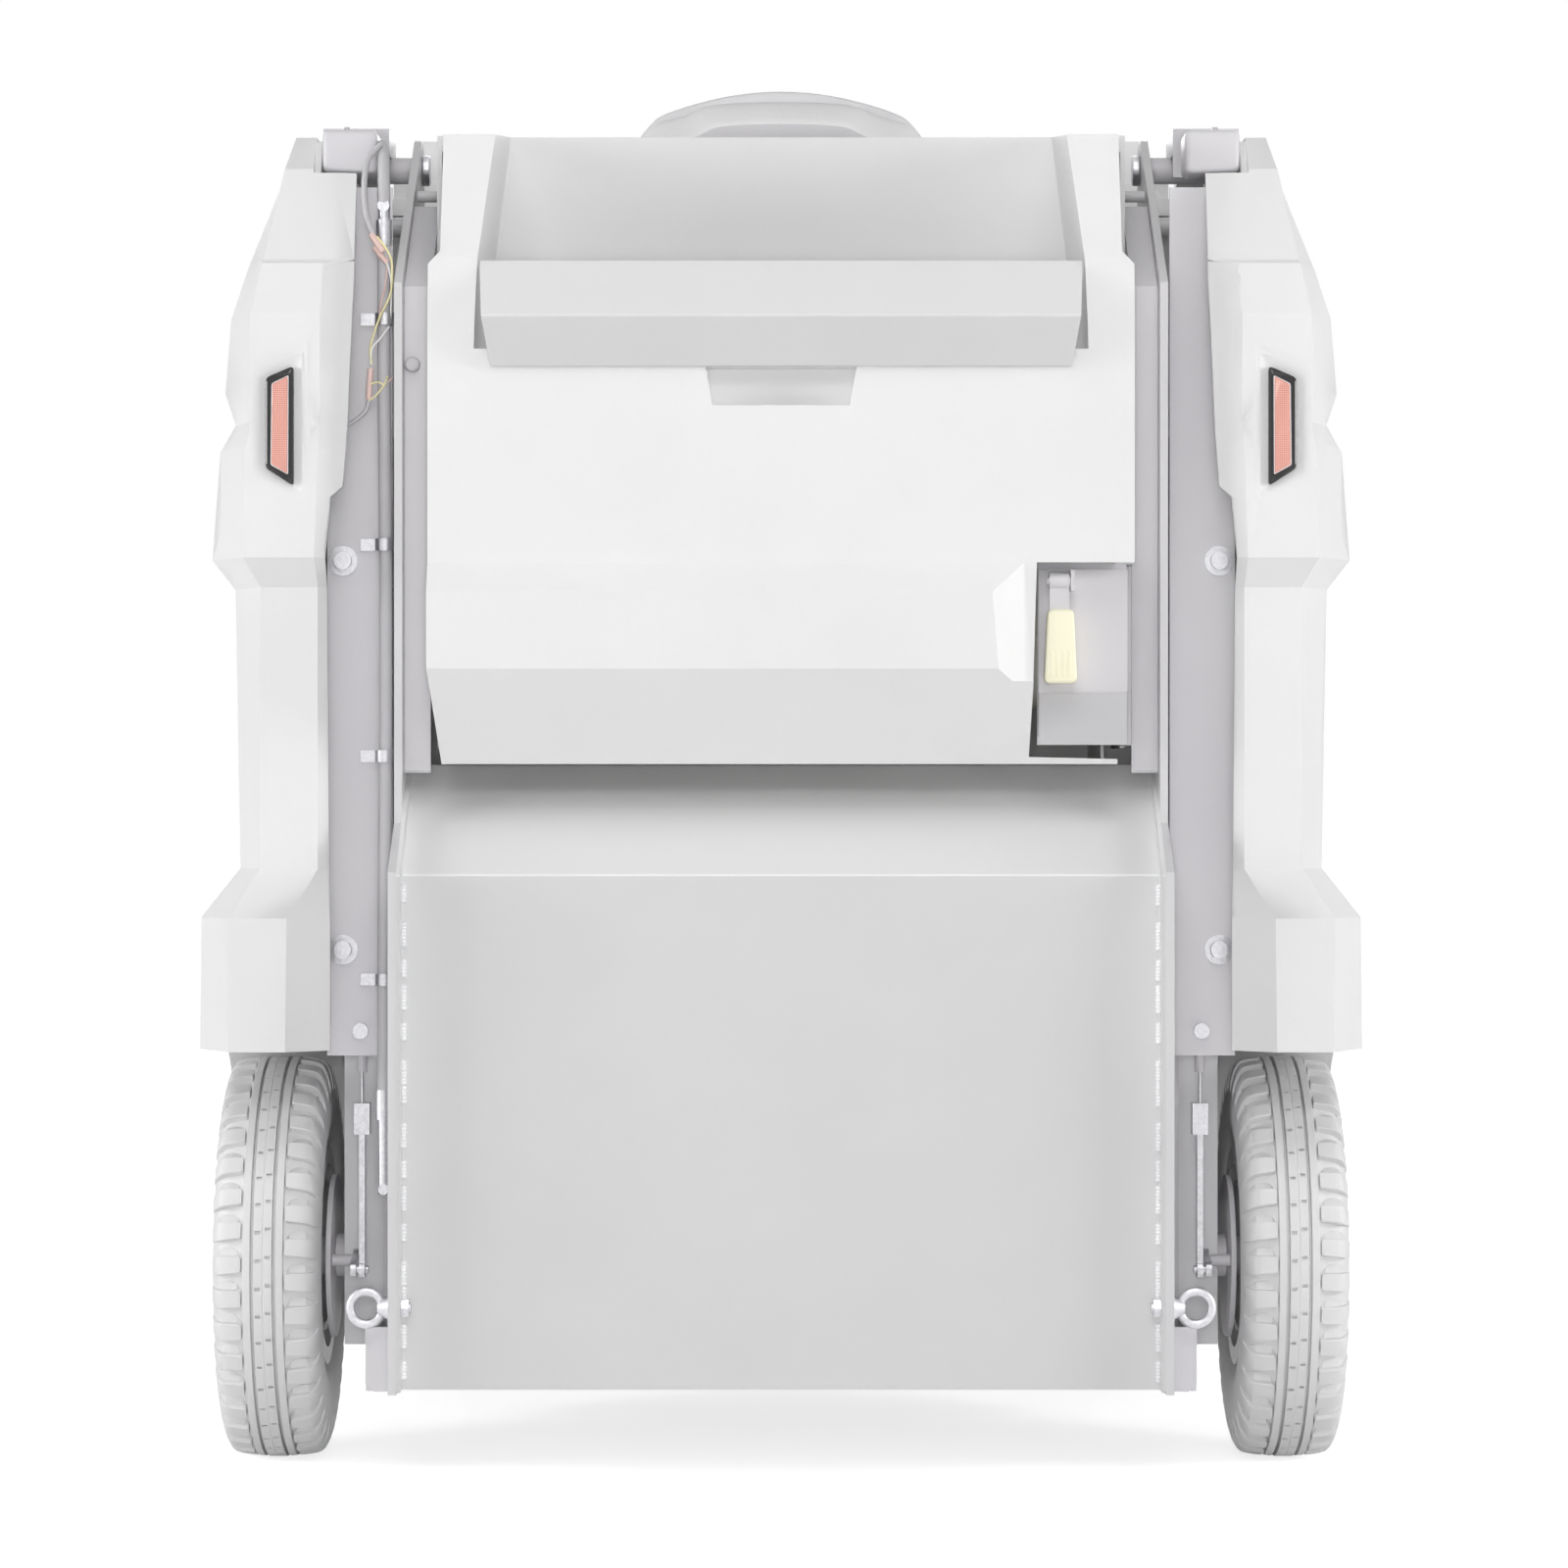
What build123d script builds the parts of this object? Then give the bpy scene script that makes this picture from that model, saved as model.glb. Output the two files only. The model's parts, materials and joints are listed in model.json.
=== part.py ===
"""Ride-on vacuum sweeper with a rear hopper that lifts to tip, as separate pieces.

Millimetres. +Z is up, +Y is forward and +X is to the right seen from behind.
The floor is Z = 0 and the origin is under the middle of the machine.
"""

import os
from math import cos, radians, sin

from build123d import *

os.makedirs("parts", exist_ok=True)

SIDES = (("left", -1), ("right", 1))

# Overall length
rear_y = -1030
front_y = 1030

# Rear wheels
tyre_r = 207.5
tyre_w = 110
rim_r = 101
rear_axle_y = -740
axle_r = 15

# Front wheel
front_tyre_r = 175
front_tyre_w = 90
front_rim_r = 100
front_axle_y = 640
front_axle_r = 12
spindle_r = 25

# Running clearances
shaft_gap = 0.05
body_gap = 0.5

# Hopper
bin_half_w = 380
bin_sheet = 4
bin_rear_y = -1000
bin_front_y = -545
bin_bottom_z = 97
bin_shoulder_z = 608
bin_top_z = 718
bin_slope_y = -849
mouth_top_z = 420
mouth_half_w = bin_half_w - 20
filter_half_w = bin_half_w - 50
filter_rear_y = -835
filter_front_y = -610
filter_top_z = 1080
filter_sheet = 3
filter_r = 95
arm_t = 8
pivot_y = -640
pivot_z = 1348
pivot_r = 10
pivot_boss_r = 32

# Chassis
arm_gap = 4
post_w = 66
frame_plate = 6
frame_in_x = bin_half_w + arm_t + arm_gap
frame_out_x = frame_in_x + post_w
post_rear_y = -910
post_low_z = 424
post_top_z = 1300
axle_plate_x = frame_in_x + 8
axle_plate_t = 8
rail_in_x = frame_in_x + 4
rail_out_x = frame_out_x - frame_plate
rail_low_z = 250
rail_top_z = 340
rail_rear_y = -600
rail_front_y = 600
deck_z = 430
deck_t = 5
deck_half_w = frame_out_x + 22
deck_rear_y = 112
deck_front_y = 604

# Track and overall width
wheel_gap = 7
fender_cover = 13
track_half = frame_out_x + wheel_gap + tyre_w / 2
body_half_w = track_half + tyre_w / 2 + fender_cover

# Lift cylinders
lift_x = frame_in_x + 28
lift_lever = 100
lift_half_angle = 42.5
barrel_r = 20
barrel_bore_r = 16
rod_r = 11
lift_base_z = 540
barrel_top_z = 1060

# Filter hood
hood_half_w = bin_half_w - 29
hood_wall = 5
hood_rear_y = -998
hood_front_y = -700
hood_bottom_z = 718
hood_top_z = 1348
hood_crest_z = 1376
hood_hinge_y = -718
hood_hinge_z = 1312
hinge_pin_r = 6
tray_floor_z = 1130
tray_bend_z = (tray_floor_z + hood_top_z) / 2 - 20
tray_front_y = -720
tray_half_top = hood_half_w - 69
tray_half_low = hood_half_w - 46
notch_half_top = 75
notch_half_low = 68
notch_top_z = 1112
notch_low_z = 1074
notch_depth = 34
pocket_left_x = hood_half_w - 103
pocket_top_z = 918
pocket_front_y = -845

# Seat
console_half_w = frame_out_x - 18
console_rear_y = -440
console_front_y = 110
console_top_z = 790
seat_top_z = 890
back_top_z = 1474

# Side panels
panel_wall = 5
arch_r = 232


def profile_plate(points, x_from, x_to, mode=Mode.ADD):
    """A plate with a side outline of (Y, Z) points between two X values."""
    with BuildSketch(Plane.YZ.offset(x_from)) as outline:
        with BuildLine():
            Polyline(*points, close=True)
        make_face()
    extrude(outline.sketch, amount=x_to - x_from, mode=mode)


def round_bar(centre, radius, x_from, x_to, mode=Mode.ADD):
    """A cylinder along X around a (Y, Z) centre."""
    with BuildSketch(Plane.YZ.offset(x_from)) as outline:
        with Locations(centre):
            Circle(radius)
    extrude(outline.sketch, amount=x_to - x_from, mode=mode)


def upright(centre, radius, z_from, z_to, mode=Mode.ADD):
    """A cylinder along Z around an (X, Y) centre."""
    with BuildSketch(Plane.XY.offset(z_from)) as outline:
        with Locations(centre):
            Circle(radius)
    extrude(outline.sketch, amount=z_to - z_from, mode=mode)


def lengthwise(centre, radius, y_from, y_to, mode=Mode.ADD):
    """A cylinder along Y around an (X, Z) centre."""
    with BuildSketch(Plane.XZ.offset(-y_from)) as outline:
        with Locations(centre):
            Circle(radius)
    extrude(outline.sketch, amount=y_from - y_to, mode=mode)


def face_prism(points, y_from, y_to, mode=Mode.ADD):
    """A prism with a rear-view outline of (X, Z) points between two Y values."""
    with BuildSketch(Plane.XZ.offset(-y_from)) as outline:
        with BuildLine():
            Polyline(*points, close=True)
        make_face()
    extrude(outline.sketch, amount=y_from - y_to, mode=mode)


def block(x, y, z, mode=Mode.ADD):
    """A box between the low and high value on each axis."""
    centre = ((x[0] + x[1]) / 2, (y[0] + y[1]) / 2, (z[0] + z[1]) / 2)
    with Locations(centre):
        Box(abs(x[1] - x[0]), abs(y[1] - y[0]), abs(z[1] - z[0]), mode=mode)


def save(piece, name):
    """Name a finished piece and write it."""
    piece.part.label = name
    export_step(piece.part, f"parts/{name}.step")


# Hopper bin with its filter chamber
side_sheet_outline = [
    (rear_y + 2, bin_bottom_z),
    (rear_y + 2, bin_shoulder_z),
    (rear_y + 90, bin_shoulder_z + 64),
    (bin_slope_y, bin_top_z),
    (bin_front_y, bin_top_z),
    (bin_front_y, bin_bottom_z),
]
bin_outline = [
    (bin_rear_y, bin_bottom_z),
    (bin_rear_y, bin_shoulder_z),
    (bin_slope_y, bin_top_z),
    (bin_front_y, bin_top_z),
    (bin_front_y, bin_bottom_z),
]
with BuildPart() as hopper_bin:
    profile_plate(bin_outline, -bin_half_w, bin_half_w)
    with BuildSketch(Plane.YZ.offset(-bin_half_w + bin_sheet)):
        with BuildLine():
            Polyline(*bin_outline, close=True)
        make_face()
        offset(amount=-bin_sheet, kind=Kind.INTERSECTION, mode=Mode.REPLACE)
    extrude(amount=2 * (bin_half_w - bin_sheet), mode=Mode.SUBTRACT)
    for sign in (-1, 1):
        profile_plate(side_sheet_outline, sign * (bin_half_w - bin_sheet), sign * bin_half_w)
        round_bar((rear_y + 15, 180), 5.5, sign * (bin_half_w - 10), sign * (bin_half_w + 1), Mode.SUBTRACT)
    block(
        (-mouth_half_w, mouth_half_w),
        (bin_front_y - 20, bin_front_y + 20),
        (bin_bottom_z + 8, mouth_top_z),
        Mode.SUBTRACT,
    )
    block(
        (-filter_half_w, filter_half_w),
        (filter_rear_y, filter_front_y),
        (bin_top_z - 1, filter_top_z),
    )
    block(
        (-filter_half_w + filter_sheet, filter_half_w - filter_sheet),
        (filter_rear_y - 10, filter_front_y - filter_sheet),
        (bin_top_z + filter_sheet, filter_top_z - filter_sheet),
        Mode.SUBTRACT,
    )
    block((-220, 220), (-790, -650), (bin_top_z - 20, bin_top_z + 20), Mode.SUBTRACT)
save(hopper_bin, "hopper_bin")

# Arms on both sides of the hopper
lift_drop = lift_lever * sin(radians(lift_half_angle))
lift_y = pivot_y - lift_lever * cos(radians(lift_half_angle))
lift_z = pivot_z - lift_drop
arm_outline = [
    (rear_y, 95),
    (rear_y, 611),
    (rear_y + 85, 659),
    (rear_y + 85, 1201),
    (pivot_y - 17, pivot_z + 27),
    (pivot_y + pivot_boss_r, pivot_z),
    (pivot_y + 40, 1200),
    (pivot_y + 40, 95),
]


def make_arm(name, sign):
    with BuildPart() as arm:
        profile_plate(arm_outline, sign * bin_half_w, sign * (bin_half_w + arm_t))
        round_bar((pivot_y, pivot_z), pivot_boss_r, sign * bin_half_w, sign * (bin_half_w + arm_t))
        round_bar((lift_y, lift_z), 10, sign * (bin_half_w + arm_t), sign * (lift_x - 8 - body_gap))
        round_bar((hood_hinge_y, hood_hinge_z), hinge_pin_r, sign * bin_half_w, sign * (hood_half_w - 14))
        round_bar(
            (pivot_y, pivot_z),
            pivot_r + shaft_gap,
            sign * (bin_half_w - 1),
            sign * (bin_half_w + arm_t + 1),
            Mode.SUBTRACT,
        )
        round_bar(
            (rear_y + 15, 180), 5.5, sign * (bin_half_w - 1), sign * (bin_half_w + arm_t + 1), Mode.SUBTRACT
        )
    save(arm, name)


for side, sign in SIDES:
    make_arm(f"hopper_arm_{side}", sign)

# Pivot pins with a round head inside each arm
with BuildPart() as pivot_pins:
    for sign in (-1, 1):
        round_bar((pivot_y, pivot_z), pivot_r, sign * (bin_half_w - 1), sign * (frame_out_x + 8))
        round_bar((pivot_y, pivot_z), 16, sign * (bin_half_w - 8), sign * (bin_half_w - shaft_gap))
save(pivot_pins, "pivot_pins")

# Filter cartridge on its side in the filter chamber
filter_y = (filter_rear_y + filter_front_y) / 2 - 3
filter_z = bin_top_z + filter_r + 60
with BuildPart() as filter_cartridge:
    round_bar((filter_y, filter_z), filter_r, filter_sheet - filter_half_w, filter_half_w - filter_sheet)
    round_bar((filter_y, filter_z), filter_r - 40, -filter_half_w + 30, filter_half_w - 30, Mode.SUBTRACT)
save(filter_cartridge, "filter_cartridge")

# Lashing eyes screwed through the hopper sides, with their nuts
eye_x = bin_half_w + arm_t + 22
eye_y = rear_y + 15
eye_z = 180
with BuildPart() as lashing_eyes:
    for sign in (-1, 1):
        lengthwise((sign * eye_x, eye_z), 20.5, eye_y - 5, eye_y + 5)
        round_bar((eye_y, eye_z), 9, sign * (bin_half_w + arm_t), sign * (eye_x - 16))
        round_bar((eye_y, eye_z), 5, sign * (bin_half_w - 14), sign * (eye_x - 16))
        lengthwise((sign * eye_x, eye_z), 12, eye_y - 6, eye_y + 6, Mode.SUBTRACT)
        with BuildSketch(Plane.YZ.offset(sign * (bin_half_w - bin_sheet))):
            with Locations((eye_y, eye_z)):
                RegularPolygon(radius=9.8, side_count=6)
                Circle(5, mode=Mode.SUBTRACT)
        extrude(amount=-sign * 8)
save(lashing_eyes, "lashing_eyes")

# Filter hood with its tray, grip notch and lever pocket
roof_rear_y = hood_rear_y + 43
roof_slope = (hood_crest_z - hood_top_z) / (hood_front_y - roof_rear_y)
pocket_back = [
    (hood_rear_y + 8, 790),
    (hood_rear_y + 4, 790),
    (hood_rear_y - 12, 812),
    (hood_rear_y - 15, 888),
    (hood_rear_y + 3, 914),
    (hood_rear_y + 8, 914),
]
hood_outline = [
    (hood_rear_y + 52, hood_bottom_z),
    (hood_rear_y - 16, 812),
    (hood_rear_y - 20, 888),
    (hood_rear_y, 917),
    (hood_rear_y, 1159),
    (hood_rear_y + 8, 1222),
    (roof_rear_y, hood_top_z),
    (hood_front_y, hood_crest_z),
    (hood_front_y, hood_bottom_z + 17),
    (-860, hood_bottom_z + 17),
    (-905, hood_bottom_z),
]
hollow_outline = [
    (hood_rear_y + 57, hood_bottom_z - 20),
    (hood_rear_y + 57, hood_bottom_z),
    (hood_rear_y - 10, 814),
    (hood_rear_y - 14, 886),
    (hood_rear_y + hood_wall, 915),
    (hood_rear_y + hood_wall, 1158),
    (hood_rear_y + hood_wall + 8, 1221),
    (hood_rear_y + hood_wall + 42, hood_top_z - hood_wall),
    (hood_front_y + 10, hood_crest_z - hood_wall),
    (hood_front_y + 10, hood_bottom_z - 20),
]
with BuildPart() as filter_hood:
    profile_plate(hood_outline, -hood_half_w, hood_half_w)
    for sign in (-1, 1):
        face_prism(
            [
                (sign * hood_half_w, 1215),
                (sign * (hood_half_w + 20), 1215),
                (sign * (hood_half_w + 20), hood_crest_z + 10),
                (sign * (hood_half_w - 14), hood_crest_z + 10),
                (sign * (hood_half_w - 12), 1228),
            ],
            hood_rear_y - 60,
            hood_rear_y + 150,
            Mode.SUBTRACT,
        )
        face_prism(
            [
                (sign * hood_half_w, 812),
                (sign * (hood_half_w + 20), 812),
                (sign * (hood_half_w + 20), hood_bottom_z - 10),
                (sign * (hood_half_w - 12), hood_bottom_z - 10),
            ],
            hood_rear_y - 60,
            hood_rear_y + 150,
            Mode.SUBTRACT,
        )
    profile_plate(hollow_outline, -hood_half_w + hood_wall + 14, hood_half_w - hood_wall - 14, Mode.SUBTRACT)
    block(
        (-hood_half_w + hood_wall, hood_half_w - hood_wall),
        (hood_rear_y + 150, hood_front_y + 10),
        (hood_bottom_z - 20, hood_top_z - hood_wall),
        Mode.SUBTRACT,
    )
    tray_shell = [
        (hood_rear_y + 4, tray_floor_z - hood_wall),
        (hood_rear_y + 4, 1159),
        (hood_rear_y + 12, 1222),
        (hood_rear_y + 47, hood_top_z),
        (tray_front_y + hood_wall, hood_top_z + roof_slope * (tray_front_y + hood_wall - roof_rear_y)),
        (tray_front_y + hood_wall, tray_floor_z - hood_wall),
    ]
    profile_plate(tray_shell, -tray_half_low - hood_wall, tray_half_low + hood_wall)
    face_prism(
        [
            (-tray_half_low, tray_floor_z),
            (tray_half_low, tray_floor_z),
            (tray_half_low - 3, tray_bend_z),
            (tray_half_top, hood_crest_z + 1),
            (-tray_half_top, hood_crest_z + 1),
            (-tray_half_low + 3, tray_bend_z),
        ],
        hood_rear_y - 60,
        tray_front_y,
        Mode.SUBTRACT,
    )
    block(
        (-notch_half_top - hood_wall, notch_half_top + hood_wall),
        (hood_rear_y + 2, hood_rear_y + notch_depth + hood_wall),
        (notch_low_z - hood_wall, tray_floor_z - 1),
    )
    face_prism(
        [
            (-notch_half_low, notch_low_z),
            (notch_half_low, notch_low_z),
            (notch_half_top, notch_top_z),
            (-notch_half_top, notch_top_z),
        ],
        hood_rear_y - 60,
        hood_rear_y + notch_depth,
        Mode.SUBTRACT,
    )
    profile_plate(pocket_back, pocket_left_x - 48, pocket_left_x + 6)
    face_prism(
        [
            (pocket_left_x + 6, pocket_top_z),
            (hood_half_w + 30, pocket_top_z),
            (hood_half_w + 30, hood_bottom_z - 40),
            (hood_half_w - 14, hood_bottom_z - 40),
            (hood_half_w - 14, hood_bottom_z + 5),
            (pocket_left_x, hood_bottom_z + 7),
        ],
        hood_rear_y - 60,
        pocket_front_y,
        Mode.SUBTRACT,
    )
    with BuildSketch(Plane.XY.offset(800)):
        with BuildLine():
            Polyline(
                (pocket_left_x - 42, hood_rear_y - 22),
                (pocket_left_x + 30, hood_rear_y - 22),
                (pocket_left_x + 30, hood_rear_y + 2),
                (pocket_left_x - 6, hood_rear_y + 1),
                close=True,
            )
        make_face()
    extrude(amount=pocket_top_z - 800, mode=Mode.SUBTRACT)
    for sign in (-1, 1):
        round_bar(
            (hood_hinge_y, hood_hinge_z),
            hinge_pin_r + shaft_gap,
            sign * (hood_half_w - 40),
            sign * (hood_half_w + 1),
            Mode.SUBTRACT,
        )
save(filter_hood, "filter_hood")

# Bent steel plate across the hood
bent_half_w = tray_half_low - 5
with BuildPart() as bent_plate:
    profile_plate(
        [
            (hood_rear_y + 13, 1219),
            (hood_rear_y - 32, 1160),
            (hood_rear_y - 6, notch_top_z),
            (hood_rear_y, notch_top_z),
            (hood_rear_y, notch_top_z + 3),
            (hood_rear_y - 4, notch_top_z + 3),
            (hood_rear_y - 28, 1160),
            (hood_rear_y + 16, 1217),
        ],
        -bent_half_w,
        bent_half_w,
    )
    face_prism(
        [
            (-bent_half_w + 12, 1110),
            (bent_half_w - 12, 1110),
            (bent_half_w - 4, 1160),
            (bent_half_w, 1221),
            (-bent_half_w, 1221),
            (-bent_half_w + 4, 1160),
        ],
        hood_rear_y - 60,
        hood_rear_y + 30,
        Mode.INTERSECT,
    )
save(bent_plate, "bent_plate")

# Bracket for the filter lever, fixed to the filter chamber
plate_y = hood_rear_y + 32
lever_y = plate_y - 14
lever_z = 900
lever_in_x = pocket_left_x + 19
lever_out_x = lever_in_x + 20
with BuildPart() as latch_plate:
    block((pocket_left_x + 9, hood_half_w - 5), (plate_y, plate_y + 4), (790, 912))
    block((filter_half_w, filter_half_w + 4), (plate_y + 4, -690), (800, 900))
    block((lever_out_x + 1, lever_out_x + 5), (lever_y - 7, plate_y), (890, 911))
    round_bar((lever_y, lever_z), 4, lever_in_x - 3, lever_out_x + 3)
    block((pocket_left_x + 9, hood_half_w - 8), (plate_y, plate_y + 20), (745, 790))
save(latch_plate, "latch_plate")

# Filter lever and its grip
with BuildPart() as filter_lever:
    block((lever_in_x, lever_out_x), (lever_y - 5, lever_y + 5), (812, lever_z))
    round_bar((lever_y, lever_z), 9, lever_in_x, lever_out_x)
    round_bar((lever_y, lever_z), 4 + shaft_gap, lever_in_x - 1, lever_out_x + 1, Mode.SUBTRACT)
save(filter_lever, "filter_lever")
with BuildPart() as lever_grip:
    face_prism(
        [
            (lever_in_x - 5, 798),
            (lever_out_x + 7, 798),
            (lever_out_x + 4, 872),
            (lever_in_x - 2, 872),
        ],
        lever_y - 13,
        lever_y + 11,
    )
    fillet(lever_grip.edges().filter_by(Axis.Y), radius=6)
    for rib in range(4):
        rib_x = lever_in_x + 0.5 + 6 * rib
        block((rib_x, rib_x + 3), (lever_y - 14.2, lever_y - 12), (802, 832))
    block((lever_in_x, lever_out_x), (lever_y - 5, lever_y + 5), (812, 880), Mode.SUBTRACT)
save(lever_grip, "lever_grip")

# Welded rear frame on each side: post, pivot tube, shelf and axle plate
flange_outline = [
    (post_rear_y, post_low_z),
    (post_rear_y, post_top_z - 60),
    (pivot_y - 60, pivot_z + 39),
    (pivot_y + 50, pivot_z + 39),
    (pivot_y + 60, pivot_z - 48),
    (pivot_y - 40, 1180),
    (pivot_y - 40, post_low_z),
]
axle_plate_outline = [
    (rear_axle_y - 80, post_low_z + frame_plate),
    (rail_rear_y, post_low_z + frame_plate),
    (rail_rear_y, 130),
    (rear_axle_y - 50, 130),
    (rear_axle_y - 80, 160),
]
brake_x = axle_plate_x + 28
cam_y = rear_axle_y - 60
crank_len = 40
crank_drop = 8
pull_y = cam_y - crank_len * cos(radians(crank_drop))
pull_z = tyre_r - crank_len * sin(radians(crank_drop))
wire_r = 1.5
hose_x = frame_in_x + 8
hose_y = post_rear_y - 10
union_z = 1280
cap_rear_y = pivot_y - 46
cap_in_x = frame_out_x - 46
cap_out_x = frame_out_x + 23


def make_rear_frame(name, sign):
    inner = sign * frame_in_x
    outer = sign * frame_out_x
    flange = sign * (frame_out_x - frame_plate)
    with BuildPart() as frame:
        block((inner, outer), (post_rear_y, post_rear_y + frame_plate), (post_low_z, post_top_z))
        profile_plate(flange_outline, flange, outer)
        block((inner, outer), (post_rear_y, pivot_y - 40), (post_low_z, post_low_z + frame_plate))
        profile_plate(axle_plate_outline, sign * axle_plate_x, sign * (axle_plate_x + axle_plate_t))
        block((sign * (lift_x - 16), flange), (lift_y - 25, lift_y + 25), (lift_base_z - 25, lift_base_z))
        block((sign * cap_in_x, sign * cap_out_x), (cap_rear_y, pivot_y + 50), (pivot_z + 33, pivot_z + 39))
        for cap_edge in (cap_in_x, cap_out_x - 4):
            block(
                (sign * cap_edge, sign * (cap_edge + 4)),
                (cap_rear_y, pivot_y + 50),
                (pivot_z + 12, pivot_z + 34),
            )
        block(
            (sign * cap_in_x, sign * cap_out_x),
            (cap_rear_y, cap_rear_y + 4),
            (pivot_z - 12, pivot_z + 39),
        )
        round_bar((pivot_y, pivot_z), 14, sign * (bin_half_w + arm_t + 1), flange)
        upright((sign * brake_x, pull_y), 5, post_low_z - 20, post_low_z + 36)
        round_bar(
            (pivot_y, pivot_z),
            pivot_r + shaft_gap,
            sign * (bin_half_w + arm_t),
            sign * (frame_out_x + 1),
            Mode.SUBTRACT,
        )
        upright((sign * brake_x, pull_y), wire_r + 0.1, post_low_z - 30, post_low_z + 40, Mode.SUBTRACT)
        round_bar(
            (rear_axle_y, tyre_r),
            axle_r,
            sign * (axle_plate_x - 1),
            sign * (axle_plate_x + axle_plate_t + 1),
            Mode.SUBTRACT,
        )
        if sign < 0:
            lengthwise((sign * hose_x, union_z), 5, post_rear_y - 1, post_rear_y + 20, Mode.SUBTRACT)
    save(frame, name)


for side, sign in SIDES:
    make_rear_frame(f"rear_frame_{side}", sign)

# Main frame: rails, cross members and the bridge over the front wheel
brush_r = 145
brush_y = -395
brush_clear = 31
brush_z = brush_r + brush_clear
brush_half = rail_in_x - 51
brush_shaft_r = 12
brush_core_r = 60
bridge_z = 390
bridge_t = 30
arm_hinge_y = 430
arm_hinge_z = 275
with BuildPart() as main_frame:
    for sign in (-1, 1):
        block((sign * rail_in_x, sign * rail_out_x), (rail_rear_y, rail_front_y), (rail_low_z, rail_top_z))
        block((sign * rail_in_x, sign * rail_out_x), (540, rail_front_y), (rail_top_z, bridge_z + bridge_t))
        block((sign * (rail_in_x - 12), sign * rail_in_x), (brush_y - 35, brush_y + 35), (brush_z - 35, rail_top_z))
        block((sign * 60, sign * 100), (600, 965), (bridge_z, bridge_z + bridge_t))
    for cross_y in (-220, -20):
        block((-rail_in_x, rail_in_x), (cross_y, cross_y + 60), (rail_low_z, rail_top_z))
    block((-rail_in_x, rail_in_x), (540, rail_front_y), (bridge_z, bridge_z + bridge_t))
    block((-120, 120), (rail_front_y, front_axle_y + 60), (bridge_z, bridge_z + bridge_t))
    round_bar((arm_hinge_y, arm_hinge_z), 14, rail_out_x, rail_out_x + 4)
    round_bar((arm_hinge_y, arm_hinge_z), 8, rail_out_x, rail_out_x + 32)
    for sign in (-1, 1):
        round_bar(
            (brush_y, brush_z), brush_shaft_r + shaft_gap, sign * (rail_in_x - 16), sign * rail_in_x, Mode.SUBTRACT
        )
    upright((0, front_axle_y), spindle_r + shaft_gap, bridge_z - 10, bridge_z + bridge_t + 10, Mode.SUBTRACT)
save(main_frame, "main_frame")

# Lift cylinders and their rods
with BuildPart() as lift_barrels:
    for sign in (-1, 1):
        centre = (sign * lift_x, lift_y)
        upright(centre, barrel_r, lift_base_z, barrel_top_z)
        upright(centre, barrel_bore_r, lift_base_z + 15, barrel_top_z - 20, Mode.SUBTRACT)
        upright(centre, rod_r + shaft_gap, barrel_top_z - 30, barrel_top_z + 10, Mode.SUBTRACT)
save(lift_barrels, "lift_barrels")


def make_lift_rod(name, sign):
    centre = (sign * lift_x, lift_y)
    with BuildPart() as rod:
        upright(centre, rod_r, lift_base_z + 100, lift_z - 14)
        upright(centre, barrel_bore_r - shaft_gap, lift_base_z + 100, lift_base_z + 130)
        round_bar((lift_y, lift_z), 22, sign * (lift_x - 8), sign * (lift_x + 8))
        round_bar((lift_y, lift_z), 10.5, sign * (lift_x - 9), sign * (lift_x + 9), Mode.SUBTRACT)
    save(rod, name)


for side, sign in SIDES:
    make_lift_rod(f"lift_rod_{side}", sign)

# Stub axles with the brake back plate and cam shaft
with BuildPart() as stub_axles:
    for sign in (-1, 1):
        centre = (rear_axle_y, tyre_r)
        round_bar(centre, axle_r, sign * axle_plate_x, sign * (track_half + 36))
        round_bar(centre, 22, sign * (axle_plate_x + axle_plate_t), sign * (track_half - 32))
        round_bar(centre, 84, sign * (track_half - 58), sign * (track_half - 53))
        round_bar((cam_y, tyre_r), 6, sign * (brake_x + 4), sign * (track_half - 56))
        round_bar(centre, 22, sign * (track_half + 27), sign * (track_half + 36))
save(stub_axles, "stub_axles")


def make_brake(side, sign):
    with BuildPart() as crank:
        round_bar((cam_y, tyre_r), 12, sign * (brake_x + 6), sign * (brake_x + 12))
        with BuildSketch(Plane.YZ.offset(sign * (brake_x + 6))) as arm_shape:
            with BuildLine():
                Polyline(
                    (cam_y, tyre_r - 8),
                    (cam_y, tyre_r + 8),
                    (pull_y, pull_z + 8),
                    (pull_y, pull_z - 8),
                    close=True,
                )
            make_face()
        extrude(arm_shape.sketch, amount=sign * 6)
        round_bar((pull_y, pull_z), 8, sign * (brake_x + 6), sign * (brake_x + 12))
        round_bar((pull_y, pull_z), 4, sign * (brake_x - 6), sign * (brake_x + 6))
        round_bar(
            (cam_y, tyre_r), 6 + shaft_gap, sign * (brake_x + 5), sign * (brake_x + 13), Mode.SUBTRACT
        )
    save(crank, f"brake_crank_{side}")
    with BuildPart() as link:
        block((sign * (brake_x - 3), sign * (brake_x + 3)), (pull_y - 6, pull_y + 6), (pull_z, 350))
        round_bar((pull_y, pull_z), 9, sign * (brake_x - 3), sign * (brake_x + 3))
        block((sign * (brake_x - 8), sign * (brake_x + 8)), (pull_y - 8, pull_y + 8), (340, 372))
        upright((sign * brake_x, pull_y), wire_r, 371, post_low_z + 18)
        round_bar((pull_y, pull_z), 4.7, sign * (brake_x - 4), sign * (brake_x + 4), Mode.SUBTRACT)
    save(link, f"brake_link_{side}")


for side, sign in SIDES:
    make_brake(side, sign)

# Tyres and rims
tread_groove_x = 15
tread_groove_w = 8
tread_groove_d = 8


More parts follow.
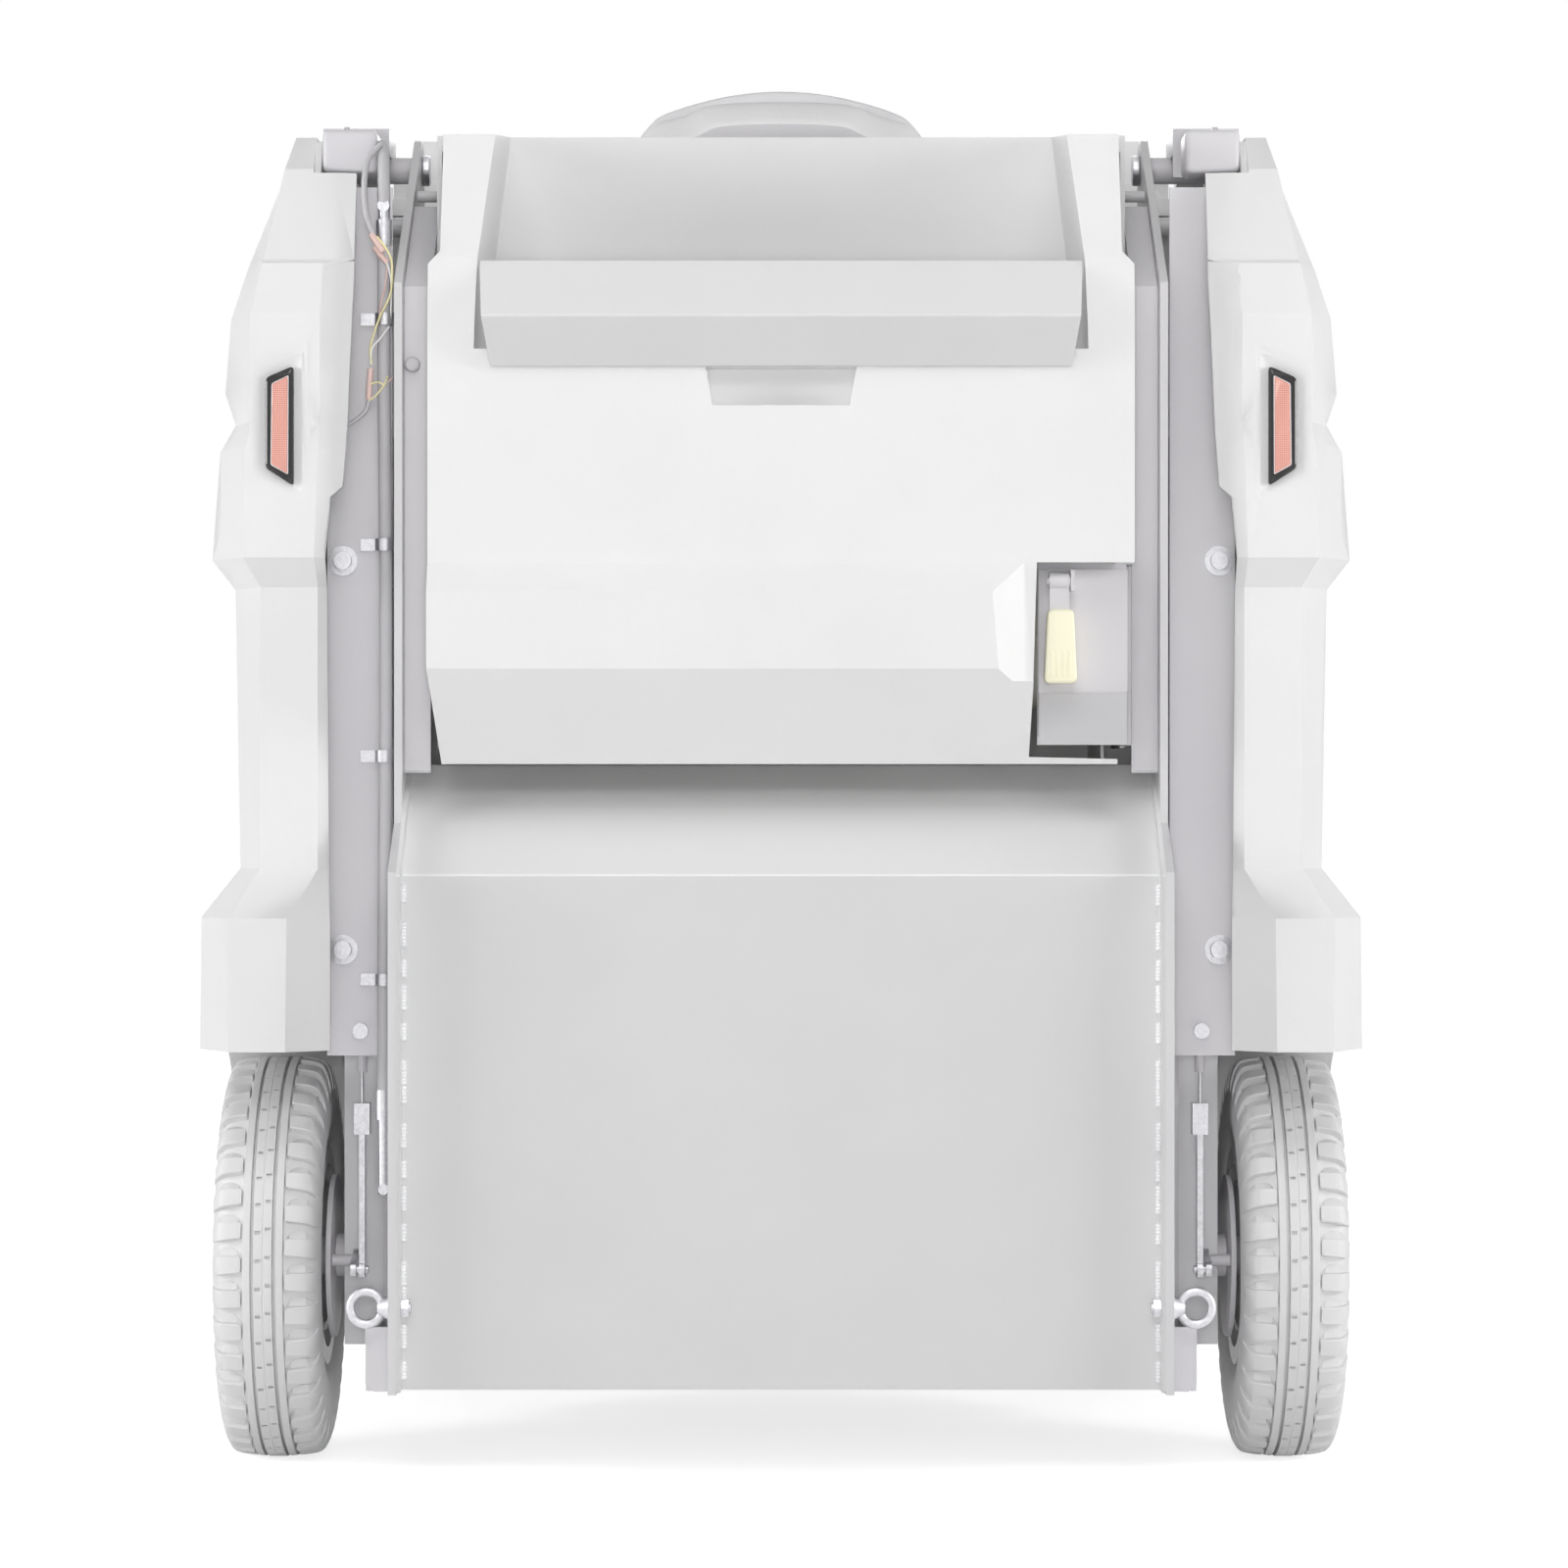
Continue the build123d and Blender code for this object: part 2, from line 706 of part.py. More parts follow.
def make_rear_wheel(side, sign):
    centre_x = sign * track_half
    wheel_plane = Plane(origin=(centre_x, rear_axle_y, tyre_r), x_dir=(1, 0, 0), z_dir=(0, -1, 0))
    wheel_axis = Axis((centre_x, rear_axle_y, tyre_r), (1, 0, 0))
    half_w = tyre_w / 2
    groove_in = tread_groove_x - tread_groove_w / 2
    groove_out = tread_groove_x + tread_groove_w / 2
    right_half = [
        (groove_in, tyre_r),
        (groove_in, tyre_r - tread_groove_d),
        (groove_out, tyre_r - tread_groove_d),
        (groove_out, tyre_r - 0.5),
        (half_w - 22, tyre_r - 3),
        (half_w - 8, tyre_r - 9),
        (half_w - 2, tyre_r - 24),
        (half_w, tyre_r - 52),
        (half_w - 4, rim_r + 26),
        (half_w - 11, rim_r + 14),
        (half_w - 11, rim_r),
        (half_w - 20, rim_r),
        (half_w - 12, tyre_r - 56),
        (half_w - 18, tyre_r - 22),
    ]
    left_half = [(-x, r) for x, r in reversed(right_half)]
    with BuildPart() as tyre:
        with BuildSketch(wheel_plane) as tyre_shape:
            with BuildLine():
                Polyline(*right_half, *left_half, close=True)
            make_face()
        revolve(tyre_shape.sketch, axis=wheel_axis)
    save(tyre, f"rear_tyre_{side}")
    bead = half_w - 11
    rim_shape_points = [
        (-bead - 5, rim_r + 12),
        (-bead - 0.3, rim_r + 12),
        (-bead - 0.3, rim_r - 0.1),
        (bead + 0.3, rim_r - 0.1),
        (bead + 0.3, rim_r + 12),
        (bead + 5, rim_r + 12),
        (bead + 5, rim_r - 6),
        (5, rim_r - 6),
        (5, 42),
        (26, 38),
        (26, axle_r + shaft_gap),
        (-30, axle_r + shaft_gap),
        (-30, 38),
        (-5, 42),
        (-5, 70),
        (-46, 70),
        (-46, 78),
        (-5, 78),
        (-5, rim_r - 6),
        (-bead - 5, rim_r - 6),
    ]
    with BuildPart() as rim:
        with BuildSketch(wheel_plane) as rim_shape:
            with BuildLine():
                Polyline(*[(sign * x, r) for x, r in rim_shape_points], close=True)
            make_face()
        revolve(rim_shape.sketch, axis=wheel_axis)
    save(rim, f"rear_rim_{side}")


for side, sign in SIDES:
    make_rear_wheel(side, sign)

# Front wheel, its rim and the steering fork
front_plane = Plane(origin=(0, front_axle_y, front_tyre_r), x_dir=(1, 0, 0), z_dir=(0, -1, 0))
front_axis = Axis((0, front_axle_y, front_tyre_r), (1, 0, 0))
with BuildPart() as front_tyre:
    with BuildSketch(front_plane) as front_tyre_shape:
        with BuildLine():
            Polyline(
                (-front_tyre_w / 2, front_rim_r),
                (-front_tyre_w / 2, front_tyre_r - 14),
                (-front_tyre_w / 2 + 12, front_tyre_r),
                (front_tyre_w / 2 - 12, front_tyre_r),
                (front_tyre_w / 2, front_tyre_r - 14),
                (front_tyre_w / 2, front_rim_r),
                close=True,
            )
        make_face()
    revolve(front_tyre_shape.sketch, axis=front_axis)
save(front_tyre, "front_tyre")
hub_half_w = front_tyre_w / 2 + 1
fork_in_x = hub_half_w + 14
fork_out_x = fork_in_x + 12
with BuildPart() as front_rim:
    with BuildSketch(front_plane) as front_rim_shape:
        with BuildLine():
            Polyline(
                (-hub_half_w, front_axle_r + shaft_gap),
                (-hub_half_w, front_rim_r - 40),
                (-hub_half_w + 6, front_rim_r - 10),
                (-hub_half_w + 6, front_rim_r),
                (hub_half_w - 6, front_rim_r),
                (hub_half_w - 6, front_rim_r - 10),
                (hub_half_w, front_rim_r - 40),
                (hub_half_w, front_axle_r + shaft_gap),
                close=True,
            )
        make_face()
    revolve(front_rim_shape.sketch, axis=front_axis)
save(front_rim, "front_rim")
crown_z = 2 * front_tyre_r + 8
with BuildPart() as front_fork:
    for sign in (-1, 1):
        block(
            (sign * fork_in_x, sign * fork_out_x),
            (front_axle_y - 35, front_axle_y + 35),
            (front_tyre_r, crown_z),
        )
        round_bar((front_axle_y, front_tyre_r), 35, sign * fork_in_x, sign * fork_out_x)
        round_bar((front_axle_y, front_tyre_r), 24, sign * (hub_half_w + 2), sign * fork_in_x)
    block((-fork_out_x, fork_out_x), (front_axle_y - 40, front_axle_y + 40), (crown_z, crown_z + 20))
    upright((0, front_axle_y), 40, crown_z + 20, bridge_z - body_gap)
    upright((0, front_axle_y), spindle_r, crown_z + 20, bridge_z + bridge_t + 20)
    round_bar((front_axle_y, front_tyre_r), front_axle_r, -fork_in_x, fork_in_x)
save(front_fork, "front_fork")

# Main brush across the machine
with BuildPart() as main_brush_core:
    round_bar((brush_y, brush_z), brush_core_r, -brush_half - 5, brush_half + 5)
    round_bar((brush_y, brush_z), brush_shaft_r, -brush_half - 45, brush_half + 45)
save(main_brush_core, "main_brush_core")
with BuildPart() as main_brush_bristles:
    round_bar((brush_y, brush_z), brush_r, -brush_half, brush_half)
    round_bar((brush_y, brush_z), brush_core_r, -brush_half - 1, brush_half + 1, Mode.SUBTRACT)
save(main_brush_bristles, "main_brush_bristles")

# Side brush on its lifting arm
side_arm_x = rail_out_x + 6
side_x = side_arm_x - 73
side_y = 700
side_r = 200
with BuildPart() as side_brush_arm:
    block((side_arm_x, side_arm_x + 24), (arm_hinge_y, side_y + 40), (240, 268))
    round_bar((arm_hinge_y, arm_hinge_z), 22, side_arm_x, side_arm_x + 24)
    block((side_arm_x, side_arm_x + 24), (arm_hinge_y, arm_hinge_y + 30), (254, arm_hinge_z))
    block((side_x - 45, side_arm_x + 24), (side_y - 40, side_y + 40), (232, 242))
    upright((side_x, side_y), 40, 242, 320)
    round_bar((arm_hinge_y, arm_hinge_z), 8 + shaft_gap, side_arm_x - 1, side_arm_x + 25, Mode.SUBTRACT)
    upright((side_x, side_y), 12 + shaft_gap, 230, 280, Mode.SUBTRACT)
save(side_brush_arm, "side_brush_arm")
with BuildPart() as side_brush_disc:
    upright((side_x, side_y), 110, 150, 175)
    upright((side_x, side_y), 50, 175, 200)
    upright((side_x, side_y), 12, 200, 270)
save(side_brush_disc, "side_brush_disc")
with BuildPart() as side_brush_bristles:
    with BuildSketch(Plane(origin=(side_x, side_y, 0), x_dir=(1, 0, 0), z_dir=(0, -1, 0))) as skirt_shape:
        with BuildLine():
            Polyline((70, 150), (105, 150), (side_r, 4), (side_r - 45, 4), close=True)
        make_face()
    revolve(skirt_shape.sketch, axis=Axis((side_x, side_y, 0), (0, 0, 1)))
save(side_brush_bristles, "side_brush_bristles")

# Side panels as faceted shells with a wheel arch
# Each level: Z, outer face in from the overall width, rear face's outer edge in from the same,
# rear face's inner edge and return out from the frame post, rear face Y, front Y, front wall
panel_steps = [
    (300, 0, 38, 37, -6, -985, 100, 5),
    (564, 3, 37, 34, -6, -985, 100, 5),
    (613, 39, 66, 6, -4, -950, 100, 5),
    (895, 34, 67, 6, -2, -950, 100, 16),
    (924, 13, 51, 8, -2, -972, 60, 17),
    (1033, 21, 53, 4, -12, -972, -330, 17),
    (1061, 36, 63, 2, -12, -966, -345, 8),
    (1092, 26, 57, 2, -12, -972, -360, 8),
    (1168, 32, 59, 2, -12, -972, -395, 8),
    (1219, 47, 69, 0, -18, -958, -410, 8),
    (1224, 48, 70, -8, -30, -950, -412, 8),
    (1318, 81, 88, -8, -30, -915, -440, 8),
    (1354, 89, 96, -3, -28, -878, -458, 8),
]
panel_levels = [
    (z, body_half_w - out, body_half_w - face, frame_out_x + inner, frame_out_x + back, *rest)
    for z, out, face, inner, back, *rest in panel_steps
]
chamfer_y = 75
open_x = frame_out_x - 78
light_x = body_half_w - 88


def return_step(z):
    """How far the inner return of a panel lies in front of its rear face."""
    if z < 600:
        return 38
    if z < 1222:
        return 12
    return 4


def panel_outer(level, sign):
    z, x_out, x_face, x_in, x_return, y_face, y_front, front_wall = level
    step = return_step(z)
    points = [
        (x_return, y_front),
        (x_out, y_front),
        (x_out, y_face + chamfer_y),
        (x_face, y_face),
        (x_in, y_face),
        (x_return, y_face + step),
    ]
    return [(sign * x, y) for x, y in points]


def panel_hollow(level, sign):
    z, x_out, x_face, x_in, x_return, y_face, y_front, front_wall = level
    step = return_step(z)
    points = [
        (open_x, y_front - front_wall),
        (x_out - panel_wall, y_front - front_wall),
        (x_out - panel_wall, y_face + chamfer_y + 2),
        (x_face - 2, y_face + panel_wall),
        (x_in + 1, y_face + panel_wall),
        (open_x, y_face + panel_wall + step * (x_in - open_x) / (x_in - x_return)),
    ]
    return [(sign * x, y) for x, y in points]


light_recess = [(24, 1008), (24, 1108), (8, 1126), (-22, 1126), (-22, 990), (12, 990)]
light_bezel = [(14, 1015), (14, 1100), (-10, 1114), (-14, 1112), (-14, 998), (-9, 996)]
light_lens = [(8.5, 1015), (7, 1097), (-8.5, 1105), (-8, 1007)]
light_floor_y = -962


def light_points(outline, sign):
    """A tail light outline on one side, from (X from the light's middle, Z) points."""
    return [(sign * (light_x + x), z) for x, z in outline]


liner_in_x = frame_out_x + 8
guard_in_x = frame_out_x - 30
guard_low_z = 132
guard_high_z = 334


def make_side_panel(name, sign):
    with BuildPart() as panel:
        outer_sections = []
        for level in panel_levels:
            with BuildSketch(Plane.XY.offset(level[0])) as section:
                with BuildLine():
                    Polyline(*panel_outer(level, sign), close=True)
                make_face()
            outer_sections.append(section.sketch)
        loft(outer_sections, ruled=True)
        hollow_sections = []
        for index, level in enumerate(panel_levels):
            height = level[0]
            if index == 0:
                height = level[0] - 10
            if index == len(panel_levels) - 1:
                height = level[0] - panel_wall
            with BuildSketch(Plane.XY.offset(height)) as section:
                with BuildLine():
                    Polyline(*panel_hollow(level, sign), close=True)
                make_face()
            hollow_sections.append(section.sketch)
        loft(hollow_sections, ruled=True, mode=Mode.SUBTRACT)
        profile_plate(
            [(-405, 310), (97, 310), (97, 890), (60, 920), (-330, 1029), (-405, 1029)],
            sign * (frame_out_x - 1),
            sign * (frame_out_x + 4),
        )
        with BuildSketch(Plane.YZ.offset(sign * liner_in_x)) as liner:
            with Locations((rear_axle_y, tyre_r)):
                Circle(arch_r + 4)
            with BuildLine():
                Polyline((-812, 431), (-812, 460), (-490, 460), (-490, 302), (-620, 302), close=True)
            make_face(mode=Mode.INTERSECT)
        extrude(liner.sketch, amount=sign * (body_half_w - panel_wall - liner_in_x))
        with BuildSketch(Plane.YZ.offset(sign * guard_in_x)) as guard:
            with Locations((rear_axle_y, tyre_r)):
                Circle(arch_r + 4)
            with BuildLine():
                Polyline(
                    (-620, guard_low_z), (-490, guard_low_z), (-490, guard_high_z), (-620, guard_high_z), close=True
                )
            make_face(mode=Mode.INTERSECT)
        extrude(guard.sketch, amount=sign * (body_half_w - panel_wall - guard_in_x))
        block(
            (sign * (guard_in_x - 4), sign * (rail_out_x + 3)),
            (-600, -480),
            (rail_low_z - 3, guard_high_z + 4),
            Mode.SUBTRACT,
        )
        block((sign * (light_x - 30), sign * (light_x + 28)), (-969, -952), (984, 1132))
        round_bar(
            (rear_axle_y, tyre_r), arch_r, sign * (frame_out_x - 38), sign * (body_half_w + 52), Mode.SUBTRACT
        )
        block(
            (sign * (frame_out_x - 58), sign * (body_half_w + 52)),
            (-1100, rear_axle_y),
            (200, 431),
            Mode.SUBTRACT,
        )
        face_prism(light_points(light_recess, sign), -1000, light_floor_y, Mode.SUBTRACT)
        block(
            (sign * (frame_out_x - 58), sign * (frame_out_x + 13)),
            (-1000, pivot_y - 100),
            (1314, pivot_z + 52),
            Mode.SUBTRACT,
        )
        block(
            (sign * (frame_out_x - 58), sign * (cap_out_x + 5)),
            (pivot_y - 112, pivot_y + 62),
            (pivot_z - 12, pivot_z + 52),
            Mode.SUBTRACT,
        )
    save(panel, name)


for side, sign in SIDES:
    make_side_panel(f"side_panel_{side}", sign)

# Tail lights in the side panels
with BuildPart() as tail_light_bezels:
    for sign in (-1, 1):
        face_prism(light_points(light_bezel, sign), light_floor_y - 16, light_floor_y)
        face_prism(light_points(light_lens, sign), light_floor_y - 20, light_floor_y - 8, Mode.SUBTRACT)
save(tail_light_bezels, "tail_light_bezels")
with BuildPart() as tail_light_lenses:
    for sign in (-1, 1):
        face_prism(light_points(light_lens, sign), light_floor_y - 19, light_floor_y - 8)
save(tail_light_lenses, "tail_light_lenses")

# Skirts beside the hopper near the floor
with BuildPart() as skirts:
    for sign in (-1, 1):
        skirt_x = axle_plate_x + axle_plate_t
        block((sign * skirt_x, sign * (skirt_x + 6)), (-975, -560), (93, 157))
        face_prism(
            [
                (sign * (frame_in_x - 1), 93),
                (sign * (skirt_x - 2), 93),
                (sign * (skirt_x + 6), 101),
                (sign * (skirt_x + 6), 157),
                (sign * (frame_in_x - 1), 157),
            ],
            -980,
            -974,
        )
save(skirts, "skirts")

# Hydraulic hose up the left post with its end fittings and clips
hose_r = 6.5
hose_low_z = 390
hose_top_z = 1240
with BuildPart() as hydraulic_hose:
    with BuildLine() as hose_line:
        FilletPolyline(
            (-hose_x, hose_y, hose_low_z),
            (-hose_x, hose_y, 520),
            (-hose_x + 2, hose_y, 760),
            (-hose_x + 2, hose_y, 900),
            (-hose_x, hose_y, 1120),
            (-hose_x, hose_y, hose_top_z),
            radius=600,
        )
    with BuildSketch(Plane(origin=hose_line.line @ 0, z_dir=hose_line.line % 0)):
        Circle(hose_r)
    sweep()
save(hydraulic_hose, "hydraulic_hose")
clip_heights = (501, 726, 939, 1166)
with BuildPart() as hose_fittings:
    for clip_z in clip_heights:
        upright((-hose_x + 1, hose_y), hose_r + 3.5, clip_z - 6, clip_z + 6)
        block((-hose_x - 24, -hose_x + 3), (hose_y + 6, post_rear_y), (clip_z - 6, clip_z + 6))
        upright((-hose_x + 1, hose_y), hose_r + 1.6, clip_z - 7, clip_z + 7, Mode.SUBTRACT)
    upright((-hose_x, hose_y), 8, hose_top_z, hose_top_z + 26)
    upright((-hose_x, hose_y), 6, hose_top_z + 26, union_z + 6)
    lengthwise((-hose_x, union_z), 6, hose_y - 6, post_rear_y)
    lengthwise((-hose_x, union_z), 5, post_rear_y - 1, post_rear_y + 16)
    upright((-hose_x, hose_y), 8, hose_low_z - 30, hose_low_z)
    upright((-hose_x, hose_y), 5.5, 285, hose_low_z - 30)
    lengthwise((-hose_x, 290), 5.5, hose_y - 5.5, rear_axle_y - 80)
save(hose_fittings, "hose_fittings")

# Tail light wires from the post to the back of each light
wire_x = frame_in_x + 21
with BuildPart() as light_wires:
    for sign in (-1, 1):
        for index in range(3):
            shift = 5 * index
            with BuildLine() as wire_line:
                FilletPolyline(
                    (sign * (wire_x + shift), post_rear_y, 1210 - shift),
                    (sign * (wire_x + shift), post_rear_y - 14, 1210 - shift),
                    (sign * (wire_x + shift), post_rear_y - 14, 1090 - 2 * shift),
                    (sign * (light_x - 22), -930, 1050 - shift),
                    (sign * light_x, -930, 1050 - shift),
                    (sign * light_x, -952, 1050 - shift),
                    radius=7,
                )
            with BuildSketch(Plane(origin=wire_line.line @ 0, z_dir=wire_line.line % 0)):
                Circle(1.4)
            sweep()
save(light_wires, "light_wires")

# Bolts with large washers on the posts
with BuildPart() as panel_bolts:
    for sign in (-1, 1):
        for centre in ((sign * (frame_out_x - 16), 923), (sign * (frame_out_x - 16), 531)):
            lengthwise(centre, 15, post_rear_y - 3, post_rear_y)
            lengthwise(centre, 9, post_rear_y - 10, post_rear_y - 3)
        lengthwise((sign * (brake_x - 4), 449), 8, post_rear_y - 7, post_rear_y)
save(panel_bolts, "panel_bolts")

# Bulkhead behind the seat
bulkhead_top_z = 1335
bulkhead_step_z = 1352
bulkhead_crest_z = 1398
step_half_w = 422
crest_half_w = 395
bulkhead_outline = [
    (-520, rail_top_z),
    (-520, 1300),
    (-490, bulkhead_top_z),
    (-465, bulkhead_top_z),
    (console_rear_y, 1290),
    (console_rear_y, rail_top_z),
]
with BuildPart() as bulkhead:
    profile_plate(bulkhead_outline, -console_half_w, console_half_w)
    for top_z, half_w in [(bulkhead_step_z, step_half_w), (bulkhead_crest_z, crest_half_w)]:
        profile_plate(
            [(-488, bulkhead_top_z - 4), (-488, top_z), (-474, top_z), (-467, bulkhead_top_z - 4)],
            -half_w,
            half_w,
        )
    profile_plate(
        [(-530, 330), (-530, 1297), (-488, bulkhead_top_z - 5), (-468, bulkhead_top_z - 5), (-445, 1289), (-445, 330)],
        -console_half_w + 5,
        console_half_w - 5,
        Mode.SUBTRACT,
    )
save(bulkhead, "bulkhead")

# Seat console over the battery
console_outline = [
    (console_rear_y, rail_top_z),
    (console_rear_y, console_top_z),
    (console_front_y - 40, console_top_z),
    (console_front_y, console_top_z - 50),
    (console_front_y, rail_top_z),
]
with BuildPart() as seat_console:
    profile_plate(console_outline, -console_half_w, console_half_w)
    profile_plate(
        [
            (console_rear_y + 5, rail_top_z - 10),
            (console_rear_y + 5, console_top_z - 5),
            (console_front_y - 42, console_top_z - 5),
            (console_front_y - 5, console_top_z - 52),
            (console_front_y - 5, rail_top_z - 10),
        ],
        -console_half_w + 5,
        console_half_w - 5,
        Mode.SUBTRACT,
    )
save(seat_console, "seat_console")
with BuildPart() as battery:
    block((60 - console_half_w, console_half_w - 60), (console_rear_y + 10, 40), (rail_top_z, 700))
save(battery, "battery")

# Seat
with BuildPart() as seat_rails:
    for sign in (-1, 1):
        block((sign * 150, sign * 180), (-250, 65), (console_top_z, console_top_z + 16))
save(seat_rails, "seat_rails")
seat_rear_y = -250
# Each level of the cushion: Z, width, length, corner radius
seat_levels = [
    (console_top_z + 16.5, 440, 400, 50),
    (console_top_z + 40, 462, 416, 58),
    (console_top_z + 66, 462, 416, 58),
    (seat_top_z - 11, 436, 396, 56),
    (seat_top_z - 2, 360, 320, 50),
    (seat_top_z, 240, 210, 40),
]
with BuildPart() as seat_cushion:
    cushion_sections = []
    for height, wide, deep, corner in seat_levels:
        with BuildSketch(Plane.XY.offset(height)) as section:
            with Locations((0, seat_rear_y + 210)):
                RectangleRounded(wide, deep, corner)
        cushion_sections.append(section.sketch)
    loft(cushion_sections)
save(seat_cushion, "seat_cushion")
back_tilt = 7
back_low_z = 830
back_seat_in = 2.9
back_plane = Plane(
    origin=(0, seat_rear_y + back_seat_in, back_low_z),
    x_dir=(1, 0, 0),
    z_dir=(0, -cos(radians(back_tilt)), -sin(radians(back_tilt))),
)
back_h = (back_top_z - back_low_z) / cos(radians(back_tilt))
back_thick = 80
back_axis = Axis(back_plane.origin, back_plane.z_dir)
back_outline = [
    (-137, back_h - 28),
    (-166, back_h - 60),
    (-206, back_h - 240),
    (-215, back_h - 410),
    (-195, 0),
    (195, 0),
    (215, back_h - 410),
    (206, back_h - 240),
    (166, back_h - 60),
    (137, back_h - 28),
]
with BuildPart() as seat_backrest:
    with BuildSketch(back_plane) as back_face:
        with BuildLine():
            Polyline(*back_outline)
            ThreePointArc(back_outline[-1], (0, back_h), back_outline[0])
        make_face()
        fillet(back_face.vertices(), 24)
    extrude(amount=back_thick)
    fillet(seat_backrest.faces().sort_by(back_axis)[0].edges(), 20)
    fillet(seat_backrest.faces().sort_by(back_axis)[-1].edges(), 14)
save(seat_backrest, "seat_backrest")

# Footwell floor
pedal_x = 190
pedal_y = 430
pedal_z = 453
pedal_half_w = 40
with BuildPart() as deck:
    block((-deck_half_w, deck_half_w), (deck_rear_y, deck_front_y), (deck_z, deck_z + deck_t))
    for sign in (-1, 1):
        block((sign * (deck_half_w - deck_t), sign * deck_half_w), (deck_rear_y, deck_front_y), (345, deck_z))
        block((sign * (rail_in_x + 10), sign * (rail_out_x - 10)), (200, 240), (rail_top_z, deck_z))
    for pedal_centre in (-pedal_x, pedal_x):
        for sign in (-1, 1):
            edge = pedal_centre + sign * (pedal_half_w + 2)
            block((edge, edge + sign * 6), (pedal_y - 9, pedal_y + 9), (deck_z + deck_t, pedal_z + 9))
        round_bar(
            (pedal_y, pedal_z), 4, pedal_centre - pedal_half_w - 8, pedal_centre + pedal_half_w + 8
        )
save(deck, "deck")

# Pedals
pedal_angle = radians(40)


def pedal_point(along, up):
    return (
        pedal_y + along * cos(pedal_angle) - up * sin(pedal_angle),
        pedal_z + along * sin(pedal_angle) + up * cos(pedal_angle),
    )


def make_pedal(name, centre_x):
    with BuildPart() as pedal:
        profile_plate(
            [pedal_point(0, 2), pedal_point(150, 2), pedal_point(150, 9), pedal_point(0, 9)],
            centre_x - pedal_half_w,
            centre_x + pedal_half_w,
        )
        round_bar((pedal_y, pedal_z), 9, centre_x - pedal_half_w, centre_x + pedal_half_w)
        round_bar(
            (pedal_y, pedal_z),
            4 + shaft_gap,
            centre_x - pedal_half_w - 1,
            centre_x + pedal_half_w + 1,
            Mode.SUBTRACT,
        )
    save(pedal, name)


make_pedal("brake_pedal", -pedal_x)
make_pedal("drive_pedal", pedal_x)

# Front cowl
# Each level: Z, half width, corner Y, front half width, front Y
cowl_levels = [
    (420, 395, 800, 250, 945),
    (520, 400, 810, 260, 960),
    (760, 392, 800, 250, 960),
    (900, 350, 770, 220, 905),
    (1000, 300, 740, 180, 850),
]
cowl_rear_y = 605
cowl_wall = 5
lamp_x = 190
lamp_z = 640
lamp_r = 50
with BuildPart() as front_cowl:
    cowl_outer = []
    for z, half, corner, front_half, front in cowl_levels:
        with BuildSketch(Plane.XY.offset(z)) as section:
            with BuildLine():
                Polyline(
                    (-half, cowl_rear_y),
                    (-half, corner),
                    (-front_half, front),
                    (front_half, front),
                    (half, corner),
                    (half, cowl_rear_y),
                    close=True,
                )
            make_face()
        cowl_outer.append(section.sketch)
    loft(cowl_outer, ruled=True)
    cowl_inner = []
    for z, half, corner, front_half, front in cowl_levels:
        height = z - 10 if z == cowl_levels[0][0] else z
        height = z - 6 if z == cowl_levels[-1][0] else height
        wall = cowl_wall + 3 if z > 800 else cowl_wall
        with BuildSketch(Plane.XY.offset(height)) as section:
            with BuildLine():
                Polyline(
                    (-half + wall, cowl_rear_y - 20),
                    (-half + wall, corner - 2),
                    (-front_half + 2, front - wall),
                    (front_half - 2, front - wall),
                    (half - wall, corner - 2),
                    (half - wall, cowl_rear_y - 20),
                    close=True,
                )
            make_face()
        cowl_inner.append(section.sketch)
    loft(cowl_inner, ruled=True, mode=Mode.SUBTRACT)
    for sign in (-1, 1):
        lengthwise((sign * lamp_x, lamp_z), lamp_r + 0.3, 900, 1000, Mode.SUBTRACT)
save(front_cowl, "front_cowl")
with BuildPart() as headlights:
    for sign in (-1, 1):
        lengthwise((sign * lamp_x, lamp_z), lamp_r, 940, 968)
        lengthwise((sign * lamp_x, lamp_z), lamp_r + 6, 960, 966)
save(headlights, "headlights")

# Bumper
with BuildPart() as front_bumper:
    profile_plate(
        [
            (965, 265),
            (965, 425),
            (1000, 425),
            (front_y, 390),
            (front_y, 300),
            (1000, 265),
        ],
        -390,
        390,
    )
    for sign in (-1, 1):
        with BuildSketch(Plane.XY.offset(260)):
            with BuildLine():
                Polyline((sign * 391, 964), (sign * 391, 1040), (sign * 300, 1040), close=True)
            make_face()
        extrude(amount=170, mode=Mode.SUBTRACT)
save(front_bumper, "front_bumper")

